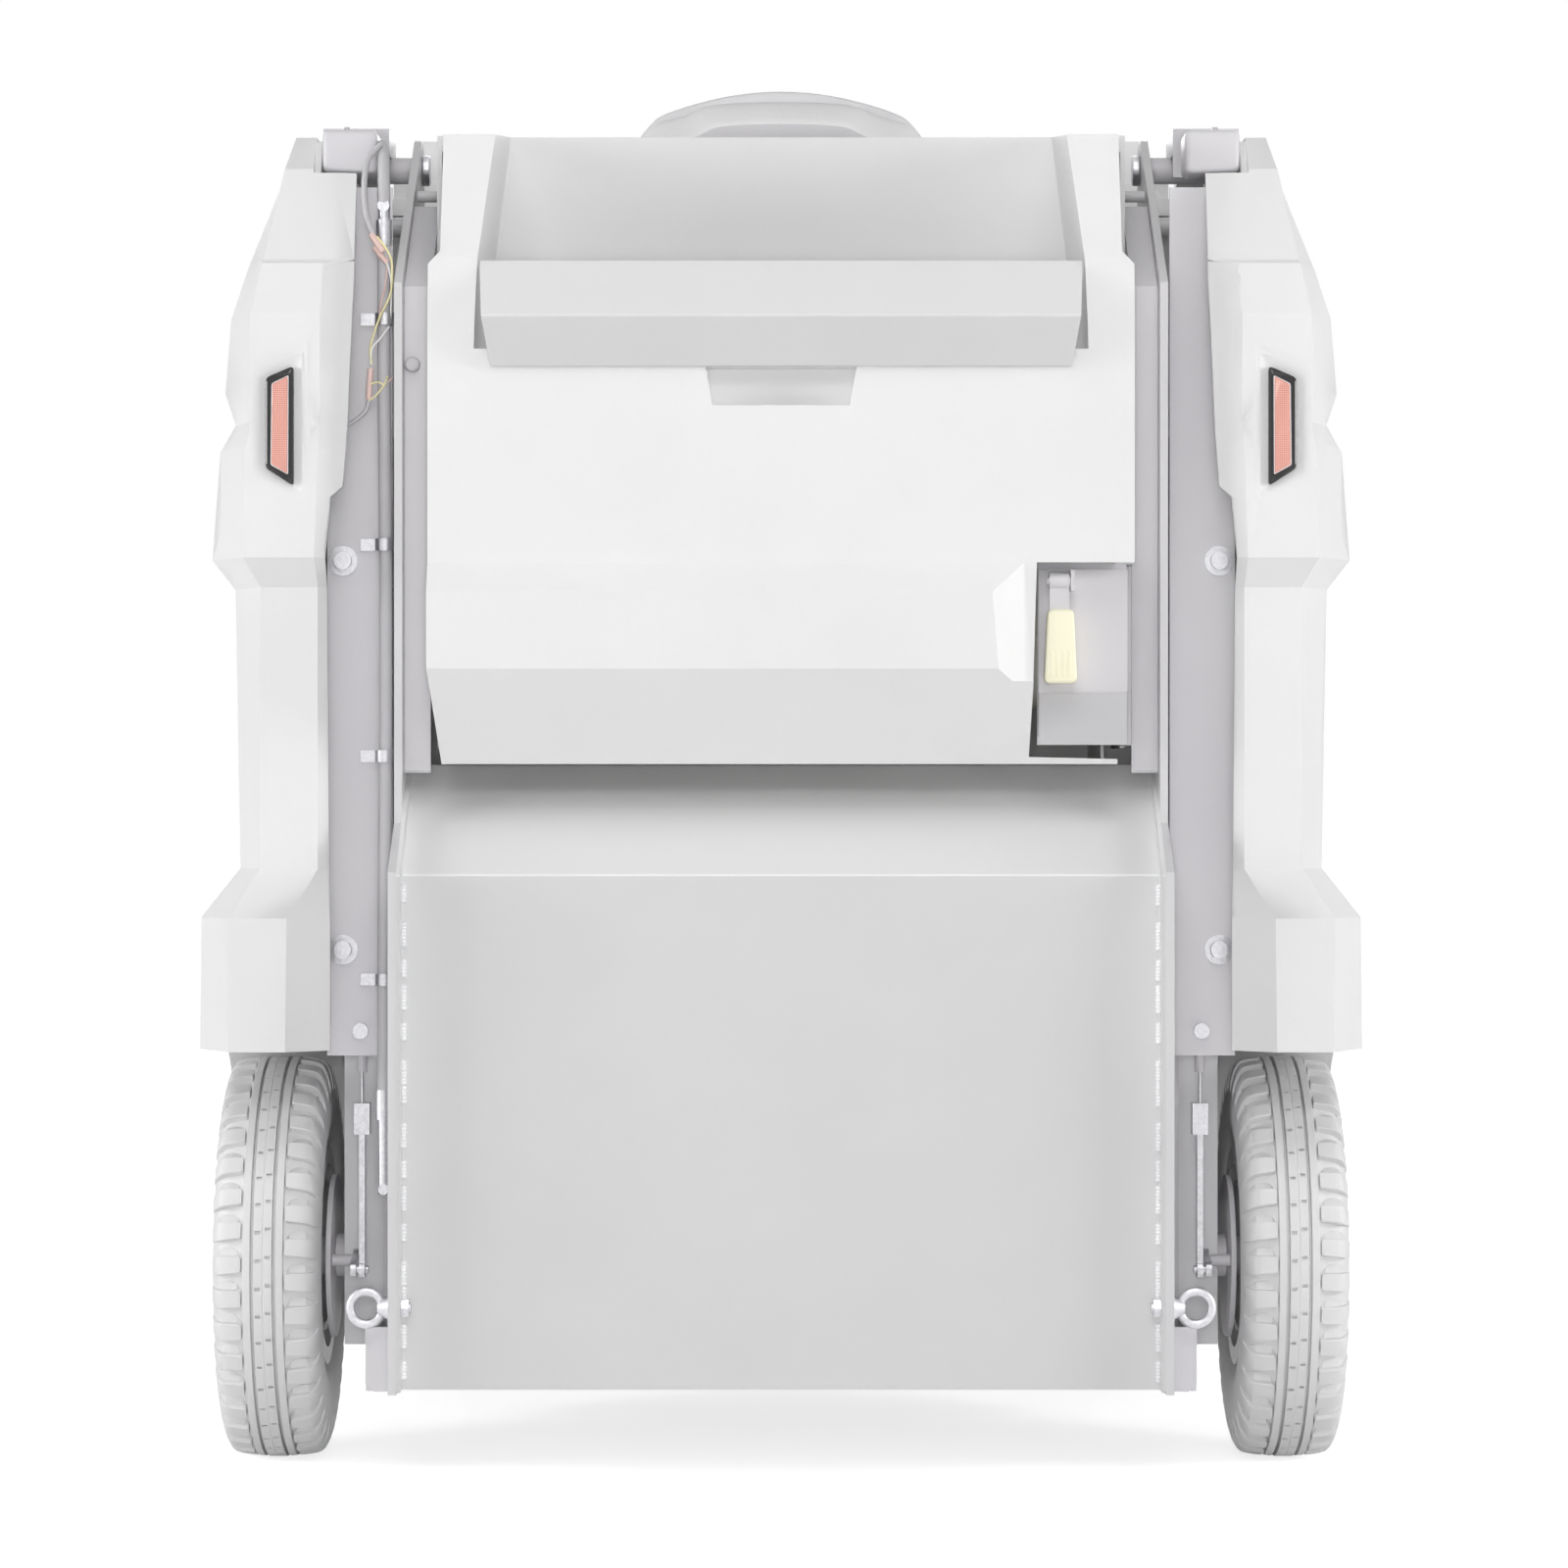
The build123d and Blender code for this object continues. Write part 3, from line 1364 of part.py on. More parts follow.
# Dashboard, steering column and steering wheel
dash_half_w = 285
column_base = (0, 590, 900)
column_dir = Vector(0, -2, 3).normalized()
column_plane = Plane(origin=column_base, x_dir=(1, 0, 0), z_dir=column_dir)
column_r = 20
column_len = 200
wheel_r = 165
stop_x = -200
stop_y = 575
lever_x = 200
lever_pin_z = 1000
with BuildPart() as dashboard:
    profile_plate(
        [
            (575, deck_z + deck_t),
            (575, 860),
            (525, 960),
            (545, 1015),
            (cowl_rear_y, 1015),
            (cowl_rear_y, deck_z + deck_t),
        ],
        -dash_half_w,
        dash_half_w,
    )
    profile_plate(
        [
            (580, deck_z + deck_t + 5),
            (580, 862),
            (531, 961),
            (549, 1010),
            (cowl_rear_y + 5, 1010),
            (cowl_rear_y + 5, deck_z + deck_t + 5),
        ],
        -dash_half_w + 5,
        dash_half_w - 5,
        Mode.SUBTRACT,
    )
    for sign in (-1, 1):
        edge = lever_x + sign * 12
        block((edge, edge + sign * 6), (stop_y - 9, stop_y + 9), (lever_pin_z - 8, 1011))
        round_bar((stop_y, lever_pin_z), 4 + shaft_gap, edge - sign, edge + sign * 7, Mode.SUBTRACT)
    block((lever_x - 9, lever_x + 9), (stop_y - 20, stop_y + 20), (1005, 1020), Mode.SUBTRACT)
    upright((stop_x, stop_y), 10 + shaft_gap, 1000, 1020, Mode.SUBTRACT)
    with BuildSketch(column_plane):
        Circle(column_r)
    extrude(amount=column_len, both=True, mode=Mode.SUBTRACT)
save(dashboard, "dashboard")
with BuildPart() as steering_column:
    with BuildSketch(column_plane):
        Circle(column_r)
    extrude(amount=column_len)
    with BuildSketch(column_plane.offset(column_len - 80)):
        Circle(9 + shaft_gap)
    extrude(amount=100, mode=Mode.SUBTRACT)
save(steering_column, "steering_column")
with BuildPart() as steering_wheel:
    with BuildSketch(column_plane.offset(column_len + 1)):
        Circle(32)
    extrude(amount=26)
    with BuildSketch(column_plane.offset(column_len - 60)):
        Circle(9)
    extrude(amount=62)
    for turn in (90, 210, 330):
        with BuildSketch(column_plane.offset(column_len + 10)):
            with PolarLocations(wheel_r / 2, 1, start_angle=turn):
                Rectangle(wheel_r, 24)
        extrude(amount=8)
    ring_plane = column_plane.offset(column_len + 14)
    with Locations(ring_plane.location):
        Torus(wheel_r, 13)
save(steering_wheel, "steering_wheel")

# Controls on the dashboard
with BuildPart() as stop_button:
    upright((stop_x, stop_y), 10, 996, 1026)
    upright((stop_x, stop_y), 20, 1022, 1040)
save(stop_button, "stop_button")
with BuildPart() as hopper_lever:
    round_bar((stop_y, lever_pin_z), 4, lever_x - 17, lever_x + 17)
    round_bar((stop_y, lever_pin_z), 8, lever_x - 6, lever_x + 6)
    upright((lever_x, stop_y), 5, lever_pin_z, 1060)
    with Locations((lever_x, stop_y, 1070)):
        Sphere(16)
save(hopper_lever, "hopper_lever")
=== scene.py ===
# %% [markdown]
# # A ride-on sweeper, seen from behind
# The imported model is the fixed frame: every solid is already in its place, in metres. This lesson gives
# the solids soft edges, treads, bristles, seams and finishes, one cell at a time.

import json
from math import cos, pi, radians, sin

import bmesh
import bpy
from mathutils import Matrix, Vector

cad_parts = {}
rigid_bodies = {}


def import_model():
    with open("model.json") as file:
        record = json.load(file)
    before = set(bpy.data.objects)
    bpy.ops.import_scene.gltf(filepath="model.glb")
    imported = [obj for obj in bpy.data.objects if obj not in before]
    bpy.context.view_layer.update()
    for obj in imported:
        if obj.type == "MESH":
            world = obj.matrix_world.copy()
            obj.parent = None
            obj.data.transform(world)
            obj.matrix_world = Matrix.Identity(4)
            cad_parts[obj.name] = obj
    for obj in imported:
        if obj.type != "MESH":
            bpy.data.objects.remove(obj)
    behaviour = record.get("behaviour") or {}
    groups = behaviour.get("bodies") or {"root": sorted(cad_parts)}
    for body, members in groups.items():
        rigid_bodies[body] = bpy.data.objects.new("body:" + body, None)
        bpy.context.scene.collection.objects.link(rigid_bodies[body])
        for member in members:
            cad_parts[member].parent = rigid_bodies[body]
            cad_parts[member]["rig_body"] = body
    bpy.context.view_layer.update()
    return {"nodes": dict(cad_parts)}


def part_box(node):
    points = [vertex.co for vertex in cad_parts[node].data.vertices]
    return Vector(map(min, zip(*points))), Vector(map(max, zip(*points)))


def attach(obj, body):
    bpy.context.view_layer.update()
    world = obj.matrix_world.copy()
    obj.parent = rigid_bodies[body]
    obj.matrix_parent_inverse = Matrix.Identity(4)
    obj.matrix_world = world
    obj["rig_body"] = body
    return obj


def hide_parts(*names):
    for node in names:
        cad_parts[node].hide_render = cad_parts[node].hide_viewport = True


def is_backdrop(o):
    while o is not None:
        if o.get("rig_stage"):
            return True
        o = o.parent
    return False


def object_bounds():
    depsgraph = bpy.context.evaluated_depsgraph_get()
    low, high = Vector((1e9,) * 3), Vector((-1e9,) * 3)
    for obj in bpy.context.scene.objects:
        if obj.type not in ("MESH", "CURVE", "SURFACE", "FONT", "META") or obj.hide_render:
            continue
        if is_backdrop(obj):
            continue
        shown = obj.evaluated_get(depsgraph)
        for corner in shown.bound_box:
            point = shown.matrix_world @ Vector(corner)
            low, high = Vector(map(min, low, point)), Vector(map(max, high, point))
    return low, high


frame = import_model()
scene = bpy.context.scene

# %% [markdown]
# ## Camera
# The picture was taken level, from straight behind, with a long lens. The lens follows from how much smaller
# the front of the machine looks than its back.

# %% Camera
camera_place = (0, -6.21, 0.698)
lens_mm, sensor_mm = 120.6, 36
picture_px, shift_px = 1600, 3


def placed(name, data):
    """A new object, put in the scene."""
    item = bpy.data.objects.new(name, data)
    scene.collection.objects.link(item)
    return item


camera_data = bpy.data.cameras.new("camera")
camera_data.lens = lens_mm
camera_data.sensor_width = sensor_mm
camera_data.shift_x = shift_px / picture_px
camera = placed("camera", camera_data)
camera.location = camera_place
camera.rotation_euler = (radians(90), 0, 0)
scene.camera = camera
scene.view_settings.view_transform = "Standard"
print("camera", camera.location, camera_data.lens)

# %% [markdown]
# ## Studio
# The room is white and soft. The world gives even light, a lamp behind the camera reaches into the gaps, and
# two wide lamps above it give the faint shadow under the hood. One more lights the front of the machine, and
# two light its sides. The floor keeps a pale shadow. Rays from the camera see the background as white.


# %% Studio
def wire(tree, start, end):
    tree.links.new(start, end)


def feed(tree, value, socket):
    """Gives a socket a plain number, or wires another socket to it."""
    if isinstance(value, (int, float)):
        socket.default_value = value
    else:
        wire(tree, value, socket)


def set_values(node, values):
    for label, value in values.items():
        node.inputs[label].default_value = value


def maths(tree, operation, first, second):
    node = tree.nodes.new("ShaderNodeMath")
    node.operation = operation
    wire(tree, first, node.inputs[0])
    wire(tree, second, node.inputs[1])
    return node.outputs[0]


def span(tree, value, low, high, to_low=0.0, to_high=1.0):
    """A value that runs from low to high, stretched to run between two other limits, which may be sockets."""
    limits = tree.nodes.new("ShaderNodeMapRange")
    wire(tree, value, limits.inputs["Value"])
    for label, limit in (("From Min", low), ("From Max", high), ("To Min", to_low), ("To Max", to_high)):
        feed(tree, limit, limits.inputs[label])
    return limits.outputs["Result"]


def coordinates(tree, kind):
    return tree.nodes.new("ShaderNodeTexCoord").outputs[kind]


def seen_ray(tree):
    """One for camera, glossy and transmission rays, and zero for the rays that carry light."""
    rays = tree.nodes.new("ShaderNodeLightPath").outputs
    shown = maths(tree, "MAXIMUM", rays["Is Camera Ray"], rays["Is Glossy Ray"])
    return maths(tree, "MAXIMUM", shown, rays["Is Transmission Ray"])


def lamp(name, place, aim, size, watts):
    data = bpy.data.lights.new(name, "AREA")
    data.shape = "RECTANGLE"
    data.size, data.size_y = size
    data.energy = watts
    light = placed(name, data)
    light.location = place
    light.rotation_euler = (Vector(aim) - Vector(place)).to_track_quat("-Z", "Y").to_euler()
    return light


white = (1, 1, 1, 1)
grey = (0.8, 0.8, 0.8, 1)
world_light = 0.13
world = bpy.data.worlds.new("studio")
world.use_nodes = True
scene.world = world
tree = world.node_tree
backdrop = tree.nodes["Background"]
backdrop.inputs["Color"].default_value = white
wire(tree, span(tree, seen_ray(tree), 0, 1, world_light, 1.0), backdrop.inputs["Strength"])

both_sides = (("left", -1), ("right", 1))
lamp("key", (0, -3.5, 4.6), (0, -0.8, 0.6), (3.2, 2.0), 40)
lamp("high", (0, -5.8, 2.9), (0, -0.9, 0.6), (2.4, 1.0), 40)
front_lamp = lamp("front", (0, -6.3, 0.72), (0, -0.9, 0.7), (0.5, 0.5), 66)
front_lamp.visible_glossy = False
lamp("fill", (0, 5.2, 3.0), (0, 0.6, 0.6), (3.0, 2.0), 150)
for side, sign in both_sides:
    lamp(f"side_{side}", (sign * 4.3, -2.1, 1.5), (0, -0.9, 0.7), (1.6, 1.6), 84)

floor_half = 40
# The floor glows less near the machine, so that the shadow shows there
near_reach, far_reach = 1.6, 3.2
near_glow, far_glow = 0.74, 1.0
bm = bmesh.new()
bmesh.ops.create_grid(bm, x_segments=1, y_segments=1, size=floor_half)
floor_mesh = bpy.data.meshes.new("floor")
bm.to_mesh(floor_mesh)
bm.free()
floor = placed("floor", floor_mesh)
floor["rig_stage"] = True
floor_finish = bpy.data.materials.new("studio_floor")
floor_finish.use_nodes = True
tree = floor_finish.node_tree
shader = tree.nodes["Principled BSDF"]
set_values(shader, {"Base Color": grey, "Emission Color": white})
set_values(shader, {"Roughness": 1, "Specular IOR Level": 0})
reach = tree.nodes.new("ShaderNodeVectorMath")
reach.operation = "LENGTH"
wire(tree, coordinates(tree, "Object"), reach.inputs[0])
glow = span(tree, reach.outputs["Value"], near_reach, far_reach, near_glow, far_glow)
wire(tree, maths(tree, "MULTIPLY", seen_ray(tree), glow), shader.inputs["Emission Strength"])
floor_mesh.materials.append(floor_finish)
print("studio with", len(bpy.data.lights), "lamps")

# %% [markdown]
# ## Shared effects
# No surface of the real machine is one flat colour. Three node groups hold what the finishes share, so that
# each effect is tuned in one place. The surface tone gives a moulded or coated surface its fine grain, a slow
# drift of colour, an uneven gloss and, where asked, a paler colour on the faces that look up, which is
# painted top light. The drawn lines give bare steel its brush marks. The lens grid gives the tail lights
# their rows of small prisms.

# %% Shared effects
socket_kinds = {4: "NodeSocketColor", 3: "NodeSocketVector"}
effect_outputs = {"Color": "NodeSocketColor", "Roughness": "NodeSocketFloat", "Height": "NodeSocketFloat"}
noise_reach = (0.3, 0.7)


def tone(red, green, blue):
    """A colour as it is written for a screen, made linear."""
    linear = []
    for value in (red, green, blue):
        share = value / 255
        linear.append(share / 12.92 if share <= 0.04045 else ((share + 0.055) / 1.055) ** 2.4)
    return (*linear, 1)


def new_group(name, inputs):
    """A node group with the given inputs, and a colour, a roughness and a height as its outputs."""
    group = bpy.data.node_groups.new(name, "ShaderNodeTree")
    for label, value in inputs.items():
        kind = socket_kinds[len(value)] if isinstance(value, tuple) else "NodeSocketFloat"
        group.interface.new_socket(label, in_out="INPUT", socket_type=kind).default_value = value
    for label, kind in effect_outputs.items():
        group.interface.new_socket(label, in_out="OUTPUT", socket_type=kind)
    return group, group.nodes.new("NodeGroupInput").outputs


def hand_out(group, colour, roughness, height):
    made = group.nodes.new("NodeGroupOutput")
    for label, value in zip(effect_outputs, (colour, roughness, height)):
        wire(group, value, made.inputs[label])


def noise_node(group, place, scale, detail):
    noise = group.nodes.new("ShaderNodeTexNoise")
    noise.inputs["Detail"].default_value = detail
    wire(group, place, noise.inputs["Vector"])
    feed(group, scale, noise.inputs["Scale"])
    return noise.outputs["Fac"]


def mix_colour(group, share, first, second):
    mix = group.nodes.new("ShaderNodeMix")
    mix.data_type = "RGBA"
    wire(group, share, mix.inputs["Factor"])
    wire(group, first, mix.inputs["A"])
    wire(group, second, mix.inputs["B"])
    return mix.outputs["Result"]


def split_axes(group, vector):
    axes = group.nodes.new("ShaderNodeSeparateXYZ")
    wire(group, vector, axes.inputs[0])
    return axes.outputs


drift_scale = 5.0
drift_reach = (0.35, 0.65)
top_light_slope = (0.02, 0.3)
surface_tone, given = new_group(
    "surface_tone",
    {
        "Color": grey,
        "Drift Color": (0.75, 0.75, 0.75, 1),
        "Grain Scale": 900,
        "Smooth": 0.4,
        "Rough": 0.5,
        "Top Light Color": (0.86, 0.86, 0.86, 1),
        "Top Light": 0.0,
    },
)
place = coordinates(surface_tone, "Object")
drift = span(surface_tone, noise_node(surface_tone, place, drift_scale, detail=3), *drift_reach)
grain = noise_node(surface_tone, place, given["Grain Scale"], detail=2)
drifted = mix_colour(surface_tone, drift, given["Color"], given["Drift Color"])
# Faces that look up are mixed towards a paler colour: painted top light.
upward = split_axes(surface_tone, coordinates(surface_tone, "Normal"))["Z"]
top_lit_share = span(surface_tone, upward, *top_light_slope, 0.0, given["Top Light"])
top_lit_colour = mix_colour(surface_tone, top_lit_share, drifted, given["Top Light Color"])
gloss = span(surface_tone, grain, *noise_reach, given["Smooth"], given["Rough"])
hand_out(surface_tone, top_lit_colour, gloss, grain)

drawn_lines, given = new_group(
    "drawn_lines",
    {
        "Color": grey,
        "Line Color": (0.7, 0.7, 0.7, 1),
        "Stretch": (60, 60, 900),
        "Smooth": 0.2,
        "Rough": 0.4,
    },
)
stretched = drawn_lines.nodes.new("ShaderNodeVectorMath")
stretched.operation = "MULTIPLY"
wire(drawn_lines, coordinates(drawn_lines, "Object"), stretched.inputs[0])
wire(drawn_lines, given["Stretch"], stretched.inputs[1])
lines = noise_node(drawn_lines, stretched.outputs["Vector"], scale=1.0, detail=2)
line_share = span(drawn_lines, lines, *noise_reach)
lined = mix_colour(drawn_lines, line_share, given["Color"], given["Line Color"])
gloss = span(drawn_lines, lines, *noise_reach, given["Smooth"], given["Rough"])
hand_out(drawn_lines, lined, gloss, lines)

groove_reach = (0.62, 0.92)
prism_gloss, groove_gloss = 0.12, 0.3
lens_grid, given = new_group(
    "lens_grid",
    {"Color": (0.8, 0.4, 0.3, 1), "Line Color": (0.6, 0.2, 0.15, 1), "Half Pitch": 0.001},
)
axes = split_axes(lens_grid, coordinates(lens_grid, "Object"))
pitch = given["Half Pitch"]
shares = []
for axis in "XZ":
    swing = maths(lens_grid, "PINGPONG", axes[axis], pitch)
    shares.append(maths(lens_grid, "DIVIDE", swing, pitch))
groove = span(lens_grid, maths(lens_grid, "MAXIMUM", *shares), *groove_reach)
pattern = mix_colour(lens_grid, groove, given["Color"], given["Line Color"])
gloss = span(lens_grid, groove, 0.0, 1.0, prism_gloss, groove_gloss)
hand_out(lens_grid, pattern, gloss, span(lens_grid, groove, 0.0, 1.0, 1.0, 0.0))
print("effects", [group.name for group in bpy.data.node_groups])

# %% [markdown]
# ## Finishes
# The machine has moulded plastic, coated and bare steel, rubber, vinyl and bristle. Each could have nodes of
# its own, but they differ only in a few numbers, so a table and one function make them all. The colours are
# pale because the picture is faded.

# %% Finishes
bump_strength = 0.6
steel_depth, lens_depth = 0.00005, 0.0003
# Colour, second colour, grain scale, smoothest and roughest gloss, and bump depth in metres
coats = {
    "panel_plastic": ((236, 236, 236), (233, 233, 233), 1100, 0.42, 0.56, 0.00025),
    "console_plastic": ((222, 222, 224), (218, 218, 220), 900, 0.45, 0.6, 0.0003),
    "hopper_steel": ((215, 215, 215), (212, 212, 213), 500, 0.3, 0.42, 0.00015),
    "frame_steel": ((217, 215, 218), (213, 211, 215), 500, 0.35, 0.5, 0.00015),
    # Painted light: steel deep in the machine, and the sheets behind the brake rods, are paler so their shade
    # stays light.
    "deep_steel_painted_light": ((240, 239, 241), (236, 235, 238), 500, 0.4, 0.55, 0.00015),
    # Painted shade: a mid grey for the sheets in the gaps beside the hood, where there is only shade.
    "gap_shade_steel": ((216, 214, 217), (212, 210, 213), 500, 0.4, 0.55, 0.00015),
    # Painted light: the bulkhead sits deep in the machine, and its plastic is paler so its shade stays light.
    "deep_plastic_painted_light": ((243, 243, 243), (240, 240, 240), 900, 0.45, 0.6, 0.0003),
    "arm_steel": ((214, 213, 214), (210, 209, 211), 500, 0.3, 0.42, 0.00015),
    "tyre_rubber": ((232, 232, 232), (226, 226, 226), 700, 0.42, 0.62, 0.0003),
    "rim_paint": ((214, 214, 215), (210, 210, 211), 500, 0.3, 0.4, 0.0001),
    "hose_rubber": ((200, 198, 201), (194, 193, 196), 1500, 0.5, 0.7, 0.0002),
    "wire_red": ((238, 208, 201), (234, 200, 192), 800, 0.35, 0.45, 0.00005),
    "wire_white": ((246, 246, 246), (240, 240, 240), 800, 0.35, 0.45, 0.00005),
    "wire_yellow": ((250, 242, 190), (247, 237, 178), 800, 0.35, 0.45, 0.00005),
    "lamp_bezel": ((34, 33, 34), (28, 27, 28), 900, 0.16, 0.24, 0.00003),
    "lamp_clear": ((232, 234, 237), (226, 229, 233), 260, 0.06, 0.14, 0.0001),
    "lever_yellow": ((252, 249, 224), (251, 246, 214), 900, 0.35, 0.45, 0.0001),
    "stop_red": ((232, 150, 140), (226, 138, 128), 600, 0.2, 0.3, 0.00005),
    "seat_vinyl": ((226, 225, 227), (221, 220, 222), 420, 0.48, 0.62, 0.0005),
    "seat_shell": ((240, 240, 240), (236, 236, 236), 520, 0.5, 0.65, 0.0011),
    # Painted shade: the sunk rear face of the backrest shell is darker.
    "seat_rear_painted_shade": ((223, 221, 224), (219, 218, 221), 520, 0.5, 0.65, 0.0008),
    "control_plastic": ((208, 207, 209), (203, 202, 205), 900, 0.4, 0.55, 0.0002),
    "brush_core": ((212, 212, 213), (207, 207, 208), 700, 0.45, 0.6, 0.0002),
    "bristle": ((222, 220, 216), (208, 206, 203), 240, 0.45, 0.65, 0.0004),
    "filter_paper": ((240, 238, 228), (234, 231, 219), 400, 0.8, 0.95, 0.0004),
    "weld_bead": ((244, 244, 245), (230, 230, 232), 260, 0.22, 0.36, 0.0006),
}
# Painted top light: the hopper steel, on the bin and on the bent plate, is paler where its faces look up.
top_light_on = {"hopper_steel": 0.75}
varnish_on = {"lamp_red": 0.5, "lamp_clear": 0.5, "stop_red": 0.3}
# Colour, line colour, stretch of the lines, smoothest and roughest gloss
steels = {
    "bright_steel": ((236, 236, 238), (214, 214, 218), (70, 70, 900), 0.18, 0.34),
    "zinc": ((210, 210, 213), (194, 194, 198), (300, 300, 300), 0.3, 0.46),
}
lens_red = {"Color": tone(243, 184, 168), "Line Color": tone(205, 112, 98), "Half Pitch": 0.0009}


def finish_with(group, name, values, depth, plain):
    """A material with colour, roughness and bump from a shared effect, and the rest from plain sockets."""
    finish = bpy.data.materials.new(name)
    finish.use_nodes = True
    tree = finish.node_tree
    shader = tree.nodes["Principled BSDF"]
    effect = tree.nodes.new("ShaderNodeGroup")
    effect.node_tree = group
    set_values(effect, values)
    bump = tree.nodes.new("ShaderNodeBump")
    set_values(bump, {"Strength": bump_strength, "Distance": depth})
    wire(tree, effect.outputs["Height"], bump.inputs["Height"])
    wire(tree, effect.outputs["Color"], shader.inputs["Base Color"])
    wire(tree, effect.outputs["Roughness"], shader.inputs["Roughness"])
    wire(tree, bump.outputs["Normal"], shader.inputs["Normal"])
    set_values(shader, plain)
    return finish


plain = {"Coat Weight": varnish_on["lamp_red"]}
finishes = {"lamp_red": finish_with(lens_grid, "lamp_red", lens_red, lens_depth, plain)}
for name, (colour, second, grain, smooth, rough, depth) in coats.items():
    values = {"Color": tone(*colour), "Drift Color": tone(*second), "Grain Scale": grain}
    values |= {"Smooth": smooth, "Rough": rough, "Top Light": top_light_on.get(name, 0.0)}
    plain = {"Coat Weight": varnish_on.get(name, 0.0)}
    finishes[name] = finish_with(surface_tone, name, values, depth, plain)
for name, (colour, second, stretch, smooth, rough) in steels.items():
    values = {"Color": tone(*colour), "Line Color": tone(*second), "Stretch": stretch}
    values |= {"Smooth": smooth, "Rough": rough}
    finishes[name] = finish_with(drawn_lines, name, values, steel_depth, {"Metallic": 1.0})
print("finishes", len(finishes))

# %% [markdown]
# ## Soft edges
# Moulded shells and bent steel have no knife edges. A copy of each solid's mesh is merged and cleaned, and
# its sharp edges are bevelled: widest where the faces on both sides leave room, and finer on thin rims. A
# plain Bevel modifier gives all of them one width, so the edges are chosen here, from wide to fine.
# Weighted normals then keep the wide faces flat in the light.

# %% Soft edges
merge_gap = 0.00002
flat_angle = 0.8
first_crease, later_crease = 14, 38
shortest_edge = 0.0002
room_share = 0.46
volume_change = 0.12
# Wide bevels get more segments than fine ones, and a node that breaks is bevelled again with less
wide_mm, fine_mm = 5, 1.5
radius_shares = (1, 0.75, 0.5, 0.3, 0.15)
parallel_gap, least_reach = 1e-9, 1e-6
face_weight = 100


def new_piece(name, bm, finish, body, nodes=(), sharp=35, flat_faces=False):
    mesh = bpy.data.meshes.new(name)
    bm.to_mesh(mesh)
    bm.free()
    mesh.materials.append(finishes[finish])
    mesh.shade_smooth()
    mesh.set_sharp_from_angle(angle=radians(sharp))
    piece = placed(name, mesh)
    if flat_faces:
        weighted = piece.modifiers.new("flat_faces", "WEIGHTED_NORMAL")
        weighted.keep_sharp = True
        weighted.weight = face_weight
    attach(piece, body)
    if nodes:
        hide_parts(*nodes)
    print(name, len(mesh.polygons))
    return piece


def room_beside(edge, face):
    """How far a face reaches straight across from the middle of one of its edges, up to a metre."""
    loop = next(loop for loop in edge.link_loops if loop.face == face)
    start = (edge.verts[0].co + edge.verts[1].co) / 2
    along = (loop.link_loop_next.vert.co - loop.vert.co).normalized()
    inward = face.normal.cross(along)
    nearest = 1.0
    for other in face.edges:
        if other == edge:
            continue
        first = other.verts[0].co - start
        last = other.verts[1].co - start
        first_u, last_u = first.dot(along), last.dot(along)
        if first_u * last_u > 0 or abs(first_u - last_u) < parallel_gap:
            continue
        share = first_u / (first_u - last_u)
        reach = first.dot(inward) * (1 - share) + last.dot(inward) * share
        if least_reach < reach < nearest:
            nearest = reach
    return nearest


def sharp_edges(bm, crease, radius):
    found = []
    for edge in bm.edges:
        if len(edge.link_faces) != 2 or edge.calc_length() < shortest_edge:
            continue
        if edge.calc_face_angle(0) < radians(crease):
            continue
        if min(room_beside(edge, face) for face in edge.link_faces) * room_share >= radius:
            found.append(edge)
    return found


def clean_copy(node):
    bm = bmesh.new()
    bm.from_mesh(frame["nodes"][node].data)
    bmesh.ops.remove_doubles(bm, verts=bm.verts, dist=merge_gap)
    bmesh.ops.dissolve_limit(bm, angle_limit=radians(flat_angle), verts=bm.verts, edges=bm.edges)
    return bm


def round_edges(bm, edges, radius, segments=3, clamp=False):
    bmesh.ops.bevel(
        bm,
        geom=edges,
        offset=radius,
        offset_type="OFFSET",
        segments=segments,
        profile=0.5,
        affect="EDGES",
        clamp_overlap=clamp,
        material=-1,
    )


def soften(bm, radii_mm):
    for index, radius_mm in enumerate(radii_mm):
        edges = sharp_edges(bm, later_crease if index else first_crease, radius_mm / 1000)
        segments = 4 if radius_mm > wide_mm else 3 if radius_mm > fine_mm else 2
        if edges:
            round_edges(bm, edges, radius_mm / 1000, segments, clamp=True)


def whole(bm, volume):
    """True for a closed mesh whose volume is still near the given one."""
    closed = all(len(edge.link_faces) == 2 for edge in bm.edges)
    return closed and abs(bm.calc_volume() / volume - 1) < volume_change


def softened(node, finish, radii_mm):
    for share in radius_shares:
        bm = clean_copy(node)
        volume = bm.calc_volume()
        soften(bm, [radius * share for radius in radii_mm])
        bmesh.ops.triangulate(bm, faces=[face for face in bm.faces if len(face.verts) > 4])
        if whole(bm, volume):
            break
        print(node, "bevelled again, finer than", share)
    body = frame["nodes"][node]["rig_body"]
    new_piece(f"{node}_soft", bm, finish, body, [node], flat_faces=True)


